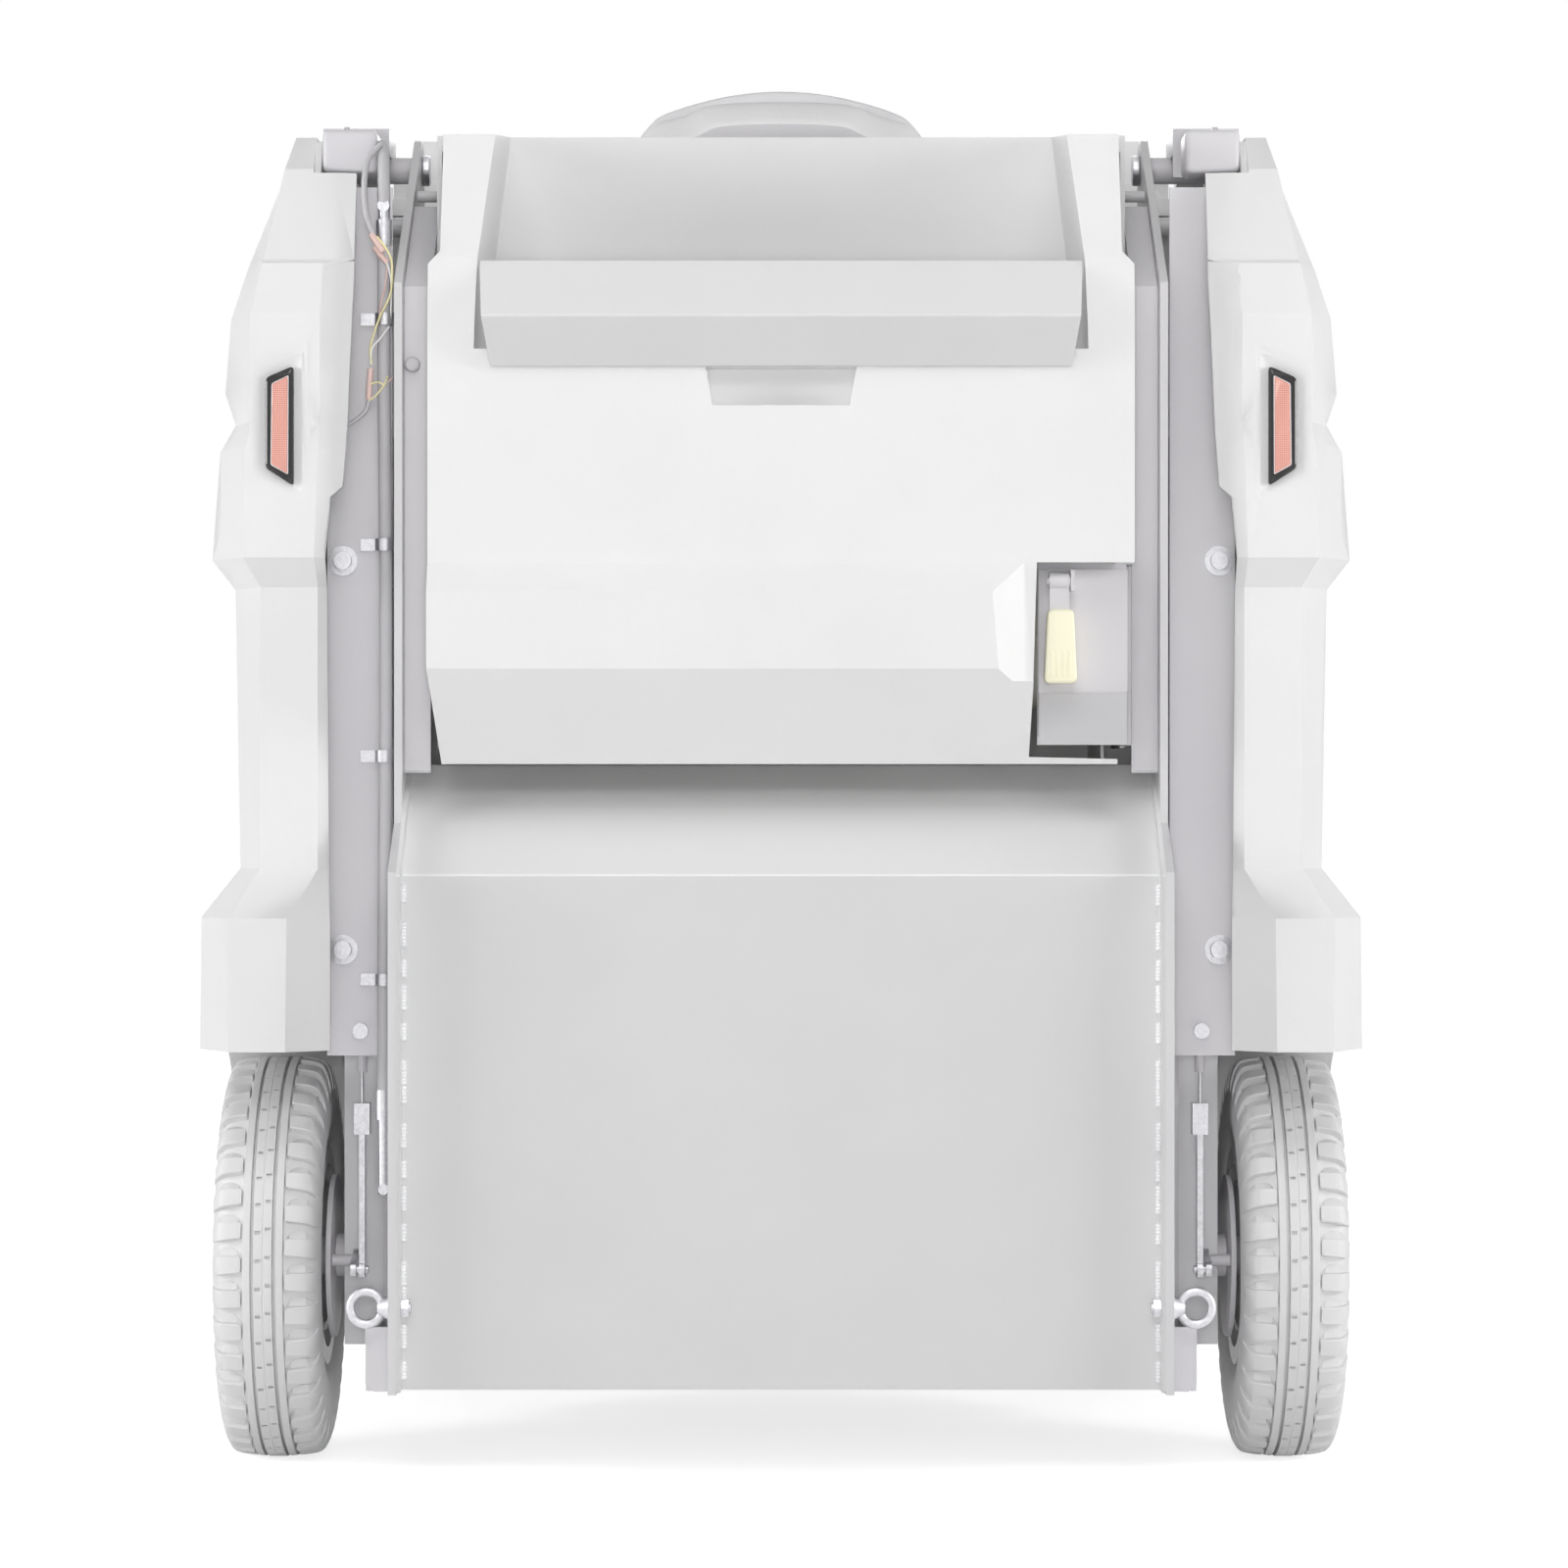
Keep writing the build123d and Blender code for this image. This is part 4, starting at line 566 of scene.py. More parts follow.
# Finish, edge radii in millimetres from wide to fine, and nodes
soft_nodes = [
    ("panel_plastic", (9, 3, 1), "side_panel_left side_panel_right"),
    ("panel_plastic", (13, 5, 2, 1), "filter_hood"),
    ("panel_plastic", (12, 4, 1), "front_cowl"),
    # The bulkhead and the main frame sit deep, and their paler finishes are painted light.
    ("deep_plastic_painted_light", (12, 4, 1), "bulkhead"),
    ("console_plastic", (10, 3, 1), "seat_console dashboard"),
    ("hopper_steel", (2, 0.8), "bent_plate hopper_bin"),
    ("arm_steel", (1.5, 0.6), "hopper_arm_left hopper_arm_right"),
    ("deep_steel_painted_light", (2.5, 0.8), "main_frame"),
    ("frame_steel", (2.5, 0.8), "rear_frame_left rear_frame_right front_fork side_brush_arm"),
    ("frame_steel", (1.2, 0.5), "latch_plate filter_lever skirts deck seat_rails"),
    ("frame_steel", (2, 0.8), "lift_barrels stub_axles steering_column"),
    ("zinc", (1.5, 0.6), "panel_bolts pivot_pins hose_fittings"),
    ("zinc", (1.5, 0.6), "brake_link_left brake_link_right brake_crank_left brake_crank_right"),
    ("bright_steel", (1.5, 0.6), "lift_rod_left lift_rod_right"),
    ("rim_paint", (2.5, 1), "rear_rim_left rear_rim_right front_rim"),
    ("hose_rubber", (14, 5, 2), "front_bumper"),
    ("hose_rubber", (2, 1), "brake_pedal drive_pedal"),
    ("lamp_clear", (3, 1), "headlights"),
    ("stop_red", (5, 1), "stop_button"),
    ("control_plastic", (2, 0.8), "steering_wheel hopper_lever battery"),
    ("brush_core", (4, 1), "main_brush_core side_brush_disc"),
]
for finish, radii_mm, nodes in soft_nodes:
    for node in nodes.split():
        softened(node, finish, radii_mm)

# %% [markdown]
# ## Solids that stay
# The hose and the filter are already round, so they keep their solids and only get a finish.

# %% Solids that stay
kept_nodes = {"hydraulic_hose": "hose_rubber", "filter_cartridge": "filter_paper"}
for node, finish in kept_nodes.items():
    mesh = frame["nodes"][node].data
    mesh.materials.clear()
    mesh.materials.append(finishes[finish])
print("kept", sorted(kept_nodes))

# %% [markdown]
# ## Rear tyres
# The carcass, with its centre rib, two grooves and two flat bands, is spun from half of its section. A step
# of the spin is an eighth of the sipe pitch, so a sipe is one step of the rib pushed in. Every shoulder lug
# is a small block lofted from the band to the sidewall, with a lower ledge beside it where the groove rises.
# A bump in the material could draw the tread, but the outline of the tyre would stay smooth.

# %% Rear tyres
tyre_centre_y, tyre_r = -0.740, 0.2075
track_half = 0.520
sipe_count, steps_per_sipe = 46, 8
seam_gap = 0.00001
sipe_band, sipe_top, sipe_depth = (0.0026, 0.0077), 0.205, 0.0040
# Half section from the middle of the tread to the bead: distance from the middle, radius
tread_half = [
    (0.0000, 0.2068), (0.0007, 0.2075), (0.0025, 0.2075), (0.0078, 0.2075), (0.0089, 0.2074),
    (0.0093, 0.2070), (0.0096, 0.1992), (0.0124, 0.1992), (0.0127, 0.2065), (0.0131, 0.2069),
    (0.0196, 0.2063), (0.0201, 0.2058), (0.0205, 0.1984), (0.0300, 0.1976), (0.0400, 0.1952),
    (0.0455, 0.1908), (0.0495, 0.1840), (0.0525, 0.1740), (0.0545, 0.1600), (0.0548, 0.1520),
    (0.0535, 0.1400), (0.0510, 0.1270), (0.0505, 0.1262), (0.0470, 0.1190), (0.0440, 0.1150),
    (0.0440, 0.1010), (0.0360, 0.1010),
]
lug_count = 37
# Rows across a lug: distance from the middle, top radius, start and end along the tread
lug_rows = [
    (0.0222, 0.2060, 0.0020, 0.0162), (0.0236, 0.2061, 0.0004, 0.0174),
    (0.0300, 0.2055, 0.0000, 0.0180), (0.0370, 0.2045, 0.0000, 0.0186),
    (0.0425, 0.2031, 0.0000, 0.0192), (0.0462, 0.2000, 0.0000, 0.0196),
    (0.0492, 0.1946, 0.0002, 0.0196), (0.0516, 0.1872, 0.0006, 0.0192),
    (0.0532, 0.1790, 0.0014, 0.0184),
]
ledge_rows = [
    (0.0236, 0.2012, -0.0012, 0.0020), (0.0262, 0.2012, -0.0060, 0.0010),
    (0.0310, 0.2006, -0.0088, 0.0010), (0.0370, 0.1998, -0.0094, 0.0010),
    (0.0425, 0.1984, -0.0078, 0.0010), (0.0470, 0.1930, -0.0046, 0.0010),
    (0.0500, 0.1866, -0.0010, 0.0020),
]
ledge_slope = 0.0022
# A block is rooted deeper beyond the shoulder, and its length is laid out on a mean radius
shoulder_x, crown_root, shoulder_root, least_height = 0.048, 0.192, 0.170, 0.006
mean_r = 0.2
block_draft, chamfer_out, chamfer_down = 0.0004, 0.0012, 0.0008


def spin_once(bm, geom, centre, axis, steps):
    bmesh.ops.spin(
        bm, geom=geom, cent=centre, axis=axis, dvec=(0, 0, 0), angle=2 * pi, steps=steps, use_merge=True
    )


def spun(bm, half, centre, steps):
    """Spins a mirrored half section round the X axis through centre."""
    section = [(-x, r) for x, r in reversed(half) if x > 0] + half
    verts = [bm.verts.new((centre[0] + x, centre[1], centre[2] + r)) for x, r in section]
    edges = [bm.edges.new(pair) for pair in zip(verts, verts[1:])]
    spin_once(bm, verts + edges, centre, (1, 0, 0), steps)
    bmesh.ops.remove_doubles(bm, verts=bm.verts, dist=seam_gap)
    bmesh.ops.recalc_face_normals(bm, faces=bm.faces)


def around(point, centre):
    """Arm and turn of a point round the X axis through centre."""
    offset = Vector((0, point.y - centre[1], point.z - centre[2]))
    turn = Vector((0, 1)).angle_signed(Vector((offset.y, offset.z)), 0)
    return offset, turn % (2 * pi)


def skin(bm, rings):
    """Faces between closed rings of equal length."""
    faces = []
    for first, second in zip(rings, rings[1:]):
        for index in range(len(first)):
            after = (index + 1) % len(first)
            faces.append(bm.faces.new((first[index], first[after], second[after], second[index])))
    return faces


def tread_block(bm, centre, side, turn, rows, slope):
    """A closed block on the tread, lofted across it row by row, with a small chamfer along its top."""
    rings = []
    for x, top, start, end in rows:
        low = min(shoulder_root if x > shoulder_x else crown_root, top - least_height)
        profile = [
            (start, low),
            (start + block_draft, top - slope - chamfer_down),
            (start + chamfer_out, top - slope),
            (end - chamfer_out, top),
            (end - block_draft, top - chamfer_down),
            (end, low),
        ]
        ring = []
        for along, radius in profile:
            angle = turn + along / mean_r
            ring.append(bm.verts.new(centre + Vector((side * x, radius * cos(angle), radius * sin(angle)))))
        rings.append(ring)
    return [bm.faces.new(rings[0]), bm.faces.new(rings[-1])] + skin(bm, rings)


def cut_sipes(bm, centre, step):
    """Pushes one step of the rib in for every sipe."""
    sipes = []
    for face in bm.faces:
        middle = face.calc_center_median()
        arm, turn = around(middle, centre)
        across = middle.x - centre.x
        column = int(turn / step + (0 if across > 0 else 1)) % steps_per_sipe
        if sipe_band[0] < abs(across) < sipe_band[1] and arm.length > sipe_top and column == 0:
            sipes.append(face)
    lowered = bmesh.ops.extrude_face_region(bm, geom=sipes)["geom"]
    for vert in [item for item in lowered if isinstance(item, bmesh.types.BMVert)]:
        arm = around(vert.co, centre)[0]
        vert.co -= arm * (sipe_depth / arm.length)
    bmesh.ops.delete(bm, geom=sipes, context="FACES_ONLY")


def rear_tyre(side, sign):
    centre = Vector((sign * track_half, tyre_centre_y, tyre_r))
    bm = bmesh.new()
    steps = sipe_count * steps_per_sipe
    spun(bm, tread_half, centre, steps)
    cut_sipes(bm, centre, 2 * pi / steps)
    blocks = []
    for hand in (-1, 1):
        for index in range(lug_count):
            turn = 2 * pi * (index + (0.5 if hand > 0 else 0)) / lug_count
            blocks += tread_block(bm, centre, hand, turn, lug_rows, 0)
            blocks += tread_block(bm, centre, hand, turn, ledge_rows, ledge_slope)
    bmesh.ops.recalc_face_normals(bm, faces=blocks)
    body, replaced = f"rear_wheel_{side}", [f"rear_tyre_{side}"]
    new_piece(f"rear_tyre_{side}_tread", bm, "tyre_rubber", body, replaced, sharp=32)


for side, sign in both_sides:
    rear_tyre(side, sign)

# %% [markdown]
# ## Front tyre
# The front tyre is hidden behind the cowl. It is a plain cushion tyre with four grooves, spun in one go.

# %% Front tyre
front_centre = Vector((0, 0.640, 0.175))
front_steps = 120
front_half = [
    (0.0000, 0.1750), (0.0060, 0.1750), (0.0070, 0.1690), (0.0110, 0.1690), (0.0120, 0.1748),
    (0.0210, 0.1742), (0.0220, 0.1680), (0.0260, 0.1680), (0.0270, 0.1738), (0.0350, 0.1720),
    (0.0410, 0.1680), (0.0440, 0.1600), (0.0448, 0.1450), (0.0430, 0.1250), (0.0448, 0.1120),
    (0.0440, 0.1020), (0.0400, 0.1002),
]
bm = bmesh.new()
spun(bm, front_half, front_centre, front_steps)
new_piece("front_tyre_ribs", bm, "tyre_rubber", "front_wheel", ["front_tyre"], sharp=40)

# %% [markdown]
# ## Brushes
# A bristle field is hundreds of tufts. One tuft is a short flared cone with few sides, and the field repeats
# it in rows, so the brush reads as bristles from below without a heavy mesh.

# %% Brushes
brush_centre = Vector((0, -0.395, 0.176))
brush_half, brush_twist = 0.335, 0.9
brush_rows, tufts_per_row = 26, 38
brush_root, brush_tip = 0.058, 0.1448
# Root radius, tip radius and sides of a tuft
main_tuft, side_tuft = (0.0045, 0.0088, 5), (0.0055, 0.0085, 7)
side_centre = Vector((0.385, 0.700, 0))
side_root_z, side_tip_z = 0.152, 0.007
# Tufts in a ring of the side brush, and how far out their roots and tips are
side_rings = [(40, 0.096, 0.192), (34, 0.080, 0.166)]


def cone(bm, sides, root_r, tip_r, length, place):
    """A closed cone along the Z axis, moved to its place by a matrix."""
    return bmesh.ops.create_cone(
        bm, cap_ends=True, segments=sides, radius1=root_r, radius2=tip_r, depth=length, matrix=place
    )


def tuft(bm, root, tip, root_r, tip_r, sides):
    direction = tip - root
    turn = direction.to_track_quat("Z", "Y").to_matrix().to_4x4()
    cone(bm, sides, root_r, tip_r, direction.length, Matrix.Translation((root + tip) / 2) @ turn)


bm = bmesh.new()
for row in range(brush_rows):
    for index in range(tufts_per_row):
        x = brush_half * (2 * index / (tufts_per_row - 1) - 1)
        turn = 2 * pi * row / brush_rows + brush_twist * abs(x) / brush_half
        out = Vector((0, cos(turn), sin(turn)))
        base = brush_centre + Vector((x, 0, 0))
        tuft(bm, base + out * brush_root, base + out * brush_tip, *main_tuft)
new_piece("main_brush_tufts", bm, "bristle", "main_brush", ["main_brush_bristles"], sharp=50)

bm = bmesh.new()
for ring, (count, root_out, tip_out) in enumerate(side_rings):
    for index in range(count):
        turn = 2 * pi * (index + ring / 2) / count
        out = Vector((cos(turn), sin(turn), 0))
        root = side_centre + out * root_out + Vector((0, 0, side_root_z))
        tip = side_centre + out * tip_out + Vector((0, 0, side_tip_z))
        tuft(bm, root, tip, *side_tuft)
new_piece("side_brush_tufts", bm, "bristle", "side_brush", ["side_brush_bristles"], sharp=50)

# %% [markdown]
# ## Seat
# The seat is a foam cushion and a backrest: a moulded shell behind, and a thin pad in front of it. The
# cushion is a rounded block, subdivided and pushed out to a crown, with its side seam drawn in. The backrest
# is lofted through outlines that are drawn in towards the front and the rear, and the shell's rear face is
# sunk a little and given a darker finish, which is painted shade. Boxes with bevelled edges would look hard,
# so a Subdivision Surface modifier rounds them.

# %% Seat
cushion_share = Vector((0.99, 0.99, 0.98))
cushion_corner, cushion_crown, cushion_cuts = 0.055, 0.45, 23
edge_draw, seam_draw, seam_share = 0.05, 0.012, 0.25


def rounded_pad(size, corner, crown, cuts):
    """A pad round the origin with rounded corners, crowned faces and a seam drawn in round its middle."""
    bm = bmesh.new()
    made = bmesh.ops.create_cube(bm, size=1.0)
    bmesh.ops.scale(bm, vec=size, verts=made["verts"])
    bmesh.ops.subdivide_edges(bm, edges=bm.edges, cuts=cuts, use_grid_fill=True)
    half = size / 2
    for vert in bm.verts:
        x, y, z = vert.co
        over_x = max(abs(x) - (half.x - corner), 0)
        over_y = max(abs(y) - (half.y - corner), 0)
        if over_x and over_y:
            reach = (over_x**2 + over_y**2) ** 0.5
            pull = min(1.0, max(over_x, over_y) / reach)
            x -= (1 - pull) * over_x * (1 if x > 0 else -1)
            y -= (1 - pull) * over_y * (1 if y > 0 else -1)
        inside = max(0, 1 - (x / half.x) ** 4) * max(0, 1 - (y / half.y) ** 4)
        shrink = 1 - edge_draw * min(1, abs(z) / half.z) ** 6
        seam = 1 - seam_draw * max(0, 1 - (abs(z) / (half.z * seam_share)) ** 2)
        vert.co = Vector((x * shrink * seam, y * shrink * seam, z * (1 - crown) + z * crown * inside**0.5))
    return bm


def subdivided(piece, levels):
    modifier = piece.modifiers.new("rounded", "SUBSURF")
    modifier.levels = levels
    modifier.render_levels = levels
    return piece


low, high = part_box("seat_cushion")
bm = rounded_pad((high - low) * cushion_share, cushion_corner, cushion_crown, cushion_cuts)
bmesh.ops.translate(bm, vec=(low + high) / 2, verts=bm.verts)
cushion = new_piece("seat_cushion_pad", bm, "seat_vinyl", "seat", ["seat_cushion"], sharp=80)
subdivided(cushion, levels=1)

back_tilt = radians(7)
back_low = Vector((0, -0.2471, 0.830))
back_top_z = 1.474
back_up = Vector((0, -sin(back_tilt), cos(back_tilt)))
back_rear = Vector((0, -cos(back_tilt), -sin(back_tilt)))
back_h = (back_top_z - back_low.z) / cos(back_tilt)
draw_half = 0.2
# Half outlines from the middle of the foot to the middle of the top: half width, height above the foot
pad_half = [
    (0.000, 0.0), (0.165, 0.0), (0.192, 0.030),
    (0.214, back_h - 0.410), (0.206, back_h - 0.240), (0.181, back_h - 0.115),
    (0.166, back_h - 0.063), (0.156, back_h - 0.049), (0.141, back_h - 0.031),
    (0.132, back_h - 0.0262), (0.105, back_h - 0.0165), (0.070, back_h - 0.0074),
    (0.035, back_h - 0.0018), (0.000, back_h),
]
shell_half = [
    (0.000, 0.010), (0.160, 0.010), (0.188, 0.036),
    (0.209, back_h - 0.410), (0.203, back_h - 0.240), (0.179, back_h - 0.115),
    (0.164, back_h - 0.066), (0.152, back_h - 0.046), (0.143, back_h - 0.0355),
    (0.122, back_h - 0.0310), (0.105, back_h - 0.0270), (0.094, back_h - 0.0205),
    (0.083, back_h - 0.0155), (0.060, back_h - 0.0135), (0.030, back_h - 0.0122),
    (0.000, back_h - 0.0120),
]
# Layers from the front to the rear: depth, and how far the outline is drawn in
pad_layers = [(0.002, 0.034), (0.004, 0.016), (0.012, 0.004), (0.020, 0.0), (0.030, 0.0), (0.035, 0.005)]
shell_layers = [(0.0365, 0.006), (0.040, 0.0), (0.047, 0.001), (0.058, 0.008), (0.069, 0.017), (0.077, 0.026)]
shell_inset = 0.006


def back_slab(half, layers):
    """A slab lofted from the front of the backrest to its rear, and its rear face."""
    bm = bmesh.new()
    outline = half + [(-x, z) for x, z in reversed(half[1:-1])]
    middle_z = back_h / 2
    rings = []
    for depth, draw in layers:
        scale_x = 1 - draw / draw_half
        scale_z = 1 - draw / middle_z
        ring = []
        for x, z in outline:
            point = back_low + back_up * (middle_z + (z - middle_z) * scale_z)
            ring.append(bm.verts.new(point + Vector((x * scale_x, 0, 0)) + back_rear * depth))
        rings.append(ring)
    skin(bm, rings)
    bm.faces.new(rings[0])
    rear = bm.faces.new(reversed(rings[-1]))
    bmesh.ops.recalc_face_normals(bm, faces=bm.faces)
    return bm, rear


bm = back_slab(pad_half, pad_layers)[0]
back_pad = new_piece("seat_back_pad", bm, "seat_vinyl", "seat", ["seat_backrest"], sharp=80)
subdivided(back_pad, levels=2)
bm, rear = back_slab(shell_half, shell_layers)
panel = bmesh.ops.inset_region(bm, faces=[rear], thickness=shell_inset, depth=-shell_inset)
# The sunk rear face takes the darker finish: painted shade.
for face in [rear] + panel["faces"]:
    face.material_index = 1
back_shell = new_piece("seat_back_shell", bm, "seat_shell", "seat", sharp=80)
subdivided(back_shell, levels=2)
back_shell.data.materials.append(finishes["seat_rear_painted_shade"])

# %% [markdown]
# ## Tail lights
# Each light stands in a soft dish in the panel: a black bezel with rounded corners, a thin bright edge inside
# it, and the red lens. The top and the bottom of a light slant apart, so a bevelled box would not do: all
# of them are lofted through closed outlines with rounded corners.

# %% Tail lights
# Corners in X and Z: lower and upper outside, upper and lower inside
bezel_corners = [(0.5140, 1.013), (0.5140, 1.103), (0.4860, 1.1150), (0.4860, 0.9950)]
bezel_front = [(0.5122, 1.0145), (0.5122, 1.1015), (0.4878, 1.1122), (0.4878, 0.9978)]
lens_edge = [(0.5088, 1.0160), (0.5078, 1.0972), (0.4908, 1.1056), (0.4912, 1.0062)]
lens_corners = [(0.5080, 1.0166), (0.5070, 1.0966), (0.4916, 1.1046), (0.4920, 1.0072)]
dish_rim = [(0.5300, 0.994), (0.5300, 1.124), (0.4720, 1.1430), (0.4720, 0.9750)]
dish_fall = [(0.5230, 1.002), (0.5230, 1.109), (0.4750, 1.1350), (0.4750, 0.9810)]
lens_middle = Vector((0.4998, 1.056))
crown_share, dish_share = 0.06, 0.4
bezel_round, front_round, edge_round, lens_round = 0.0050, 0.0042, 0.0022, 0.0018
rim_round, fall_round = 0.0090, 0.0100


def rounded_loop(corners, radius, steps=5):
    """A closed outline in X and Z with each corner rounded."""
    loop = []
    count = len(corners)
    for index in range(count):
        corner = Vector(corners[index])
        before = (Vector(corners[index - 1]) - corner).normalized()
        after = (Vector(corners[(index + 1) % count]) - corner).normalized()
        for step in range(steps + 1):
            share = step / steps
            first = corner + before * radius * (1 - share)
            second = corner + after * radius * share
            loop.append(first.lerp(second, share))
    return loop


def lofted(bm, sign, rings, close=()):
    """Faces between outlines of equal length. Each ring is an outline and its Y."""
    made = [[bm.verts.new((sign * point.x, y, point.y)) for point in loop] for loop, y in rings]
    skin(bm, made)
    for index in close:
        bm.faces.new(made[index])
    bmesh.ops.recalc_face_normals(bm, faces=bm.faces)


outer = rounded_loop(bezel_corners, bezel_round)
front = rounded_loop(bezel_front, front_round)
inner = rounded_loop(lens_edge, edge_round)
window = rounded_loop(lens_corners, lens_round)
crown = [point.lerp(lens_middle, crown_share) for point in window]
rim = rounded_loop(dish_rim, rim_round)
fall = rounded_loop(dish_fall, fall_round)
halfway = [first.lerp(second, dish_share) for first, second in zip(fall, outer)]
bezel_rings = [(outer, -0.9625), (outer, -0.9738), (front, -0.9750), (inner, -0.9750), (inner, -0.9690)]
edge_rings = [(inner, -0.9690), (inner, -0.9755), (window, -0.9757), (window, -0.9690)]
lens_rings = [(window, -0.9690), (window, -0.9762), (crown, -0.9772)]
dish_rings = [(rim, -0.9640), (rim, -0.9722), (fall, -0.9722), (halfway, -0.9700), (outer, -0.9688)]
dish_rings += [(outer, -0.9630)]
# Name, rings, closed rings, finish, slot, nodes and sharp angle
light_pieces = [
    ("bezel", bezel_rings, (), "lamp_bezel", "lamp_bezel", ["tail_light_bezels"], 30),
    ("edge", edge_rings, (), "lamp_clear", "lamp_red", [], 30),
    ("lens", lens_rings, (0, 2), "lamp_red", "lamp_red", ["tail_light_lenses"], 30),
    ("dish", dish_rings, (), "panel_plastic", "panel_plastic", [], 70),
]
for side, sign in both_sides:
    for name, rings, close, finish, slot, nodes, sharp in light_pieces:
        bm = bmesh.new()
        lofted(bm, sign, rings, close)
        replaced = nodes if side == "left" else []
        new_piece(f"tail_light_{name}_{side}", bm, finish, "chassis", replaced, sharp)

# %% [markdown]
# ## Panel lips
# The inner edge of each side panel turns in beside the hose. The lip wanders with the panel's ridge, which
# no single box follows, so it is drawn as rows of points and made a shell of even thickness. A cheek closes
# the panel top beside the pivot, and a cover stands between the two.

# %% Panel lips
# Rows from the top down: panel ridge and lip edge, each in millimetres
lip_rows = [
    ((458, -955, 1219), (428, -944, 1222)),
    ((459, -962, 1206), (428, -946, 1206)),
    ((461, -971.4, 1168), (429.5, -951, 1172)),
    ((461, -971.4, 1092), (433, -952, 1092)),
    ((461, -966.5, 1061), (434.5, -949, 1061)),
    ((463, -971.4, 1033), (436, -952, 1033)),
    ((463, -971.4, 998), (439, -954, 996)),
    ((463.5, -971.4, 977), (452, -962, 984)),
]
lip_turn, lip_return, lip_sheet = 0.86, 10, 3
cheek_x, cheek_round = (464, 473), 1.5
cheek = [(-912, 1312), (-881, 1350), (-700, 1350), (-700, 1312)]
cover_x, cover_round = (408, 463), 6


def oblong(rear, front, low, high):
    """A rectangle in Y and Z."""
    return [(rear, low), (rear, high), (front, high), (front, low)]


def plate_prism(bm, xs, outline, round_mm):
    """A plate between two values of X, with its outline in Y and Z, and its edges rounded. In millimetres."""
    ends = [[bm.verts.new(Vector((x, y, z)) / 1000) for y, z in outline] for x in xs]
    made = [bm.faces.new(end) for end in ends] + skin(bm, ends)
    edges = list({edge for face in made for edge in face.edges})
    bmesh.ops.recalc_face_normals(bm, faces=made)
    round_edges(bm, edges, round_mm / 1000)


def plate_piece(name, plates, round_mm, finish, body):
    """One piece made of plates, each with its two values of X and its outline."""
    bm = bmesh.new()
    for xs, outline in plates:
        plate_prism(bm, xs, outline, round_mm)
    new_piece(name, bm, finish, body, sharp=40)


def mirrored(xs, sign):
    return [sign * x for x in xs]


cover = oblong(-909, -846, 1315, 1359)
for side, sign in both_sides:
    bm = bmesh.new()
    rows = []
    for ridge, edge in lip_rows:
        inside = (edge[0], edge[1] + lip_return, edge[2])
        points = [Vector((sign * x, y, z)) / 1000 for x, y, z in (ridge, edge, inside)]
        points.insert(1, points[0].lerp(points[1], lip_turn))
        rows.append([bm.verts.new(point) for point in points])
    for first, second in zip(rows, rows[1:]):
        for index in range(len(first) - 1):
            bm.faces.new((first[index], first[index + 1], second[index + 1], second[index]))
    bmesh.ops.recalc_face_normals(bm, faces=bm.faces)
    bmesh.ops.solidify(bm, geom=bm.faces[:], thickness=lip_sheet / 1000)
    plate_prism(bm, mirrored(cheek_x, sign), cheek, cheek_round)
    bmesh.ops.recalc_face_normals(bm, faces=bm.faces)
    new_piece(f"panel_lip_{side}", bm, "panel_plastic", "chassis", sharp=40)
    cover_plate = (mirrored(cover_x, sign), cover)
    plate_piece(f"pivot_cover_{side}", [cover_plate], cover_round, "frame_steel", "chassis")

# %% [markdown]
# ## Gap sheets
# A narrow sheet closes the gap between the hood and each hopper arm. Its mid grey stands in for the shade in
# the gap: painted shade. It moves with the hopper and follows the arm's rear edge. A backing in the same grey
# closes the lever pocket in the same way, also painted shade, and a darker plate covers the foot of the
# pocket. A pale sheet stands behind each brake rod and lightens the shade round the tyre: painted light. A
# sheet could be several boxes, but one outline, given its width, carries the bends too. A round rubber buffer
# on the left sheet keeps the hood from rattling.

# %% Gap sheets
# Places and sizes in millimetres
sheet_round, foot_plate_round = 0.4, 0.6
shade_sheet_x, shade_sheet_thick = (352.8, 379.6), 3
shade_sheet_line = [(-921, 712), (-921, 1199), (-884, 1222), (-770, 1296)]
band = shade_sheet_line + [(y + shade_sheet_thick, z - shade_sheet_thick) for y, z in reversed(shade_sheet_line)]
brake_back_x = (390, 452)
brake_back = oblong(-772, -769, 118, 470)
pocket_back = ((256, 345), oblong(-960, -957, 737, 924))
pocket_foot_plate = ((257, 345), oblong(-969, -966.2, 737, 789))
pocket_side = ((346.3, 352.2), oblong(-928, -840, 737, 917))
# Each gap sheet, and the pocket backing, stands in for the shade in the gap: painted shade.
for side, sign in both_sides:
    plates = [(mirrored(shade_sheet_x, sign), band)]
    if side == "right":
        plates.append(pocket_back)
    plate_piece(f"gap_shade_sheet_{side}", plates, sheet_round, "gap_shade_steel", "hopper")
    # A pale sheet behind each brake rod lightens the shade round the tyre: painted light.
    plates = [(mirrored(brake_back_x, sign), brake_back)]
    plate_piece(f"brake_light_sheet_{side}", plates, sheet_round, "deep_steel_painted_light", "chassis")
# A darker plate covers the foot of the lever pocket and makes it darker.
plate_piece("pocket_foot_plate", [pocket_foot_plate], foot_plate_round, "hose_rubber", "hopper")
# A sheet in the same grey closes the pocket's side on the hood: painted shade.
plate_piece("hood_pocket_shade_sheet", [pocket_side], sheet_round, "gap_shade_steel", "hood")

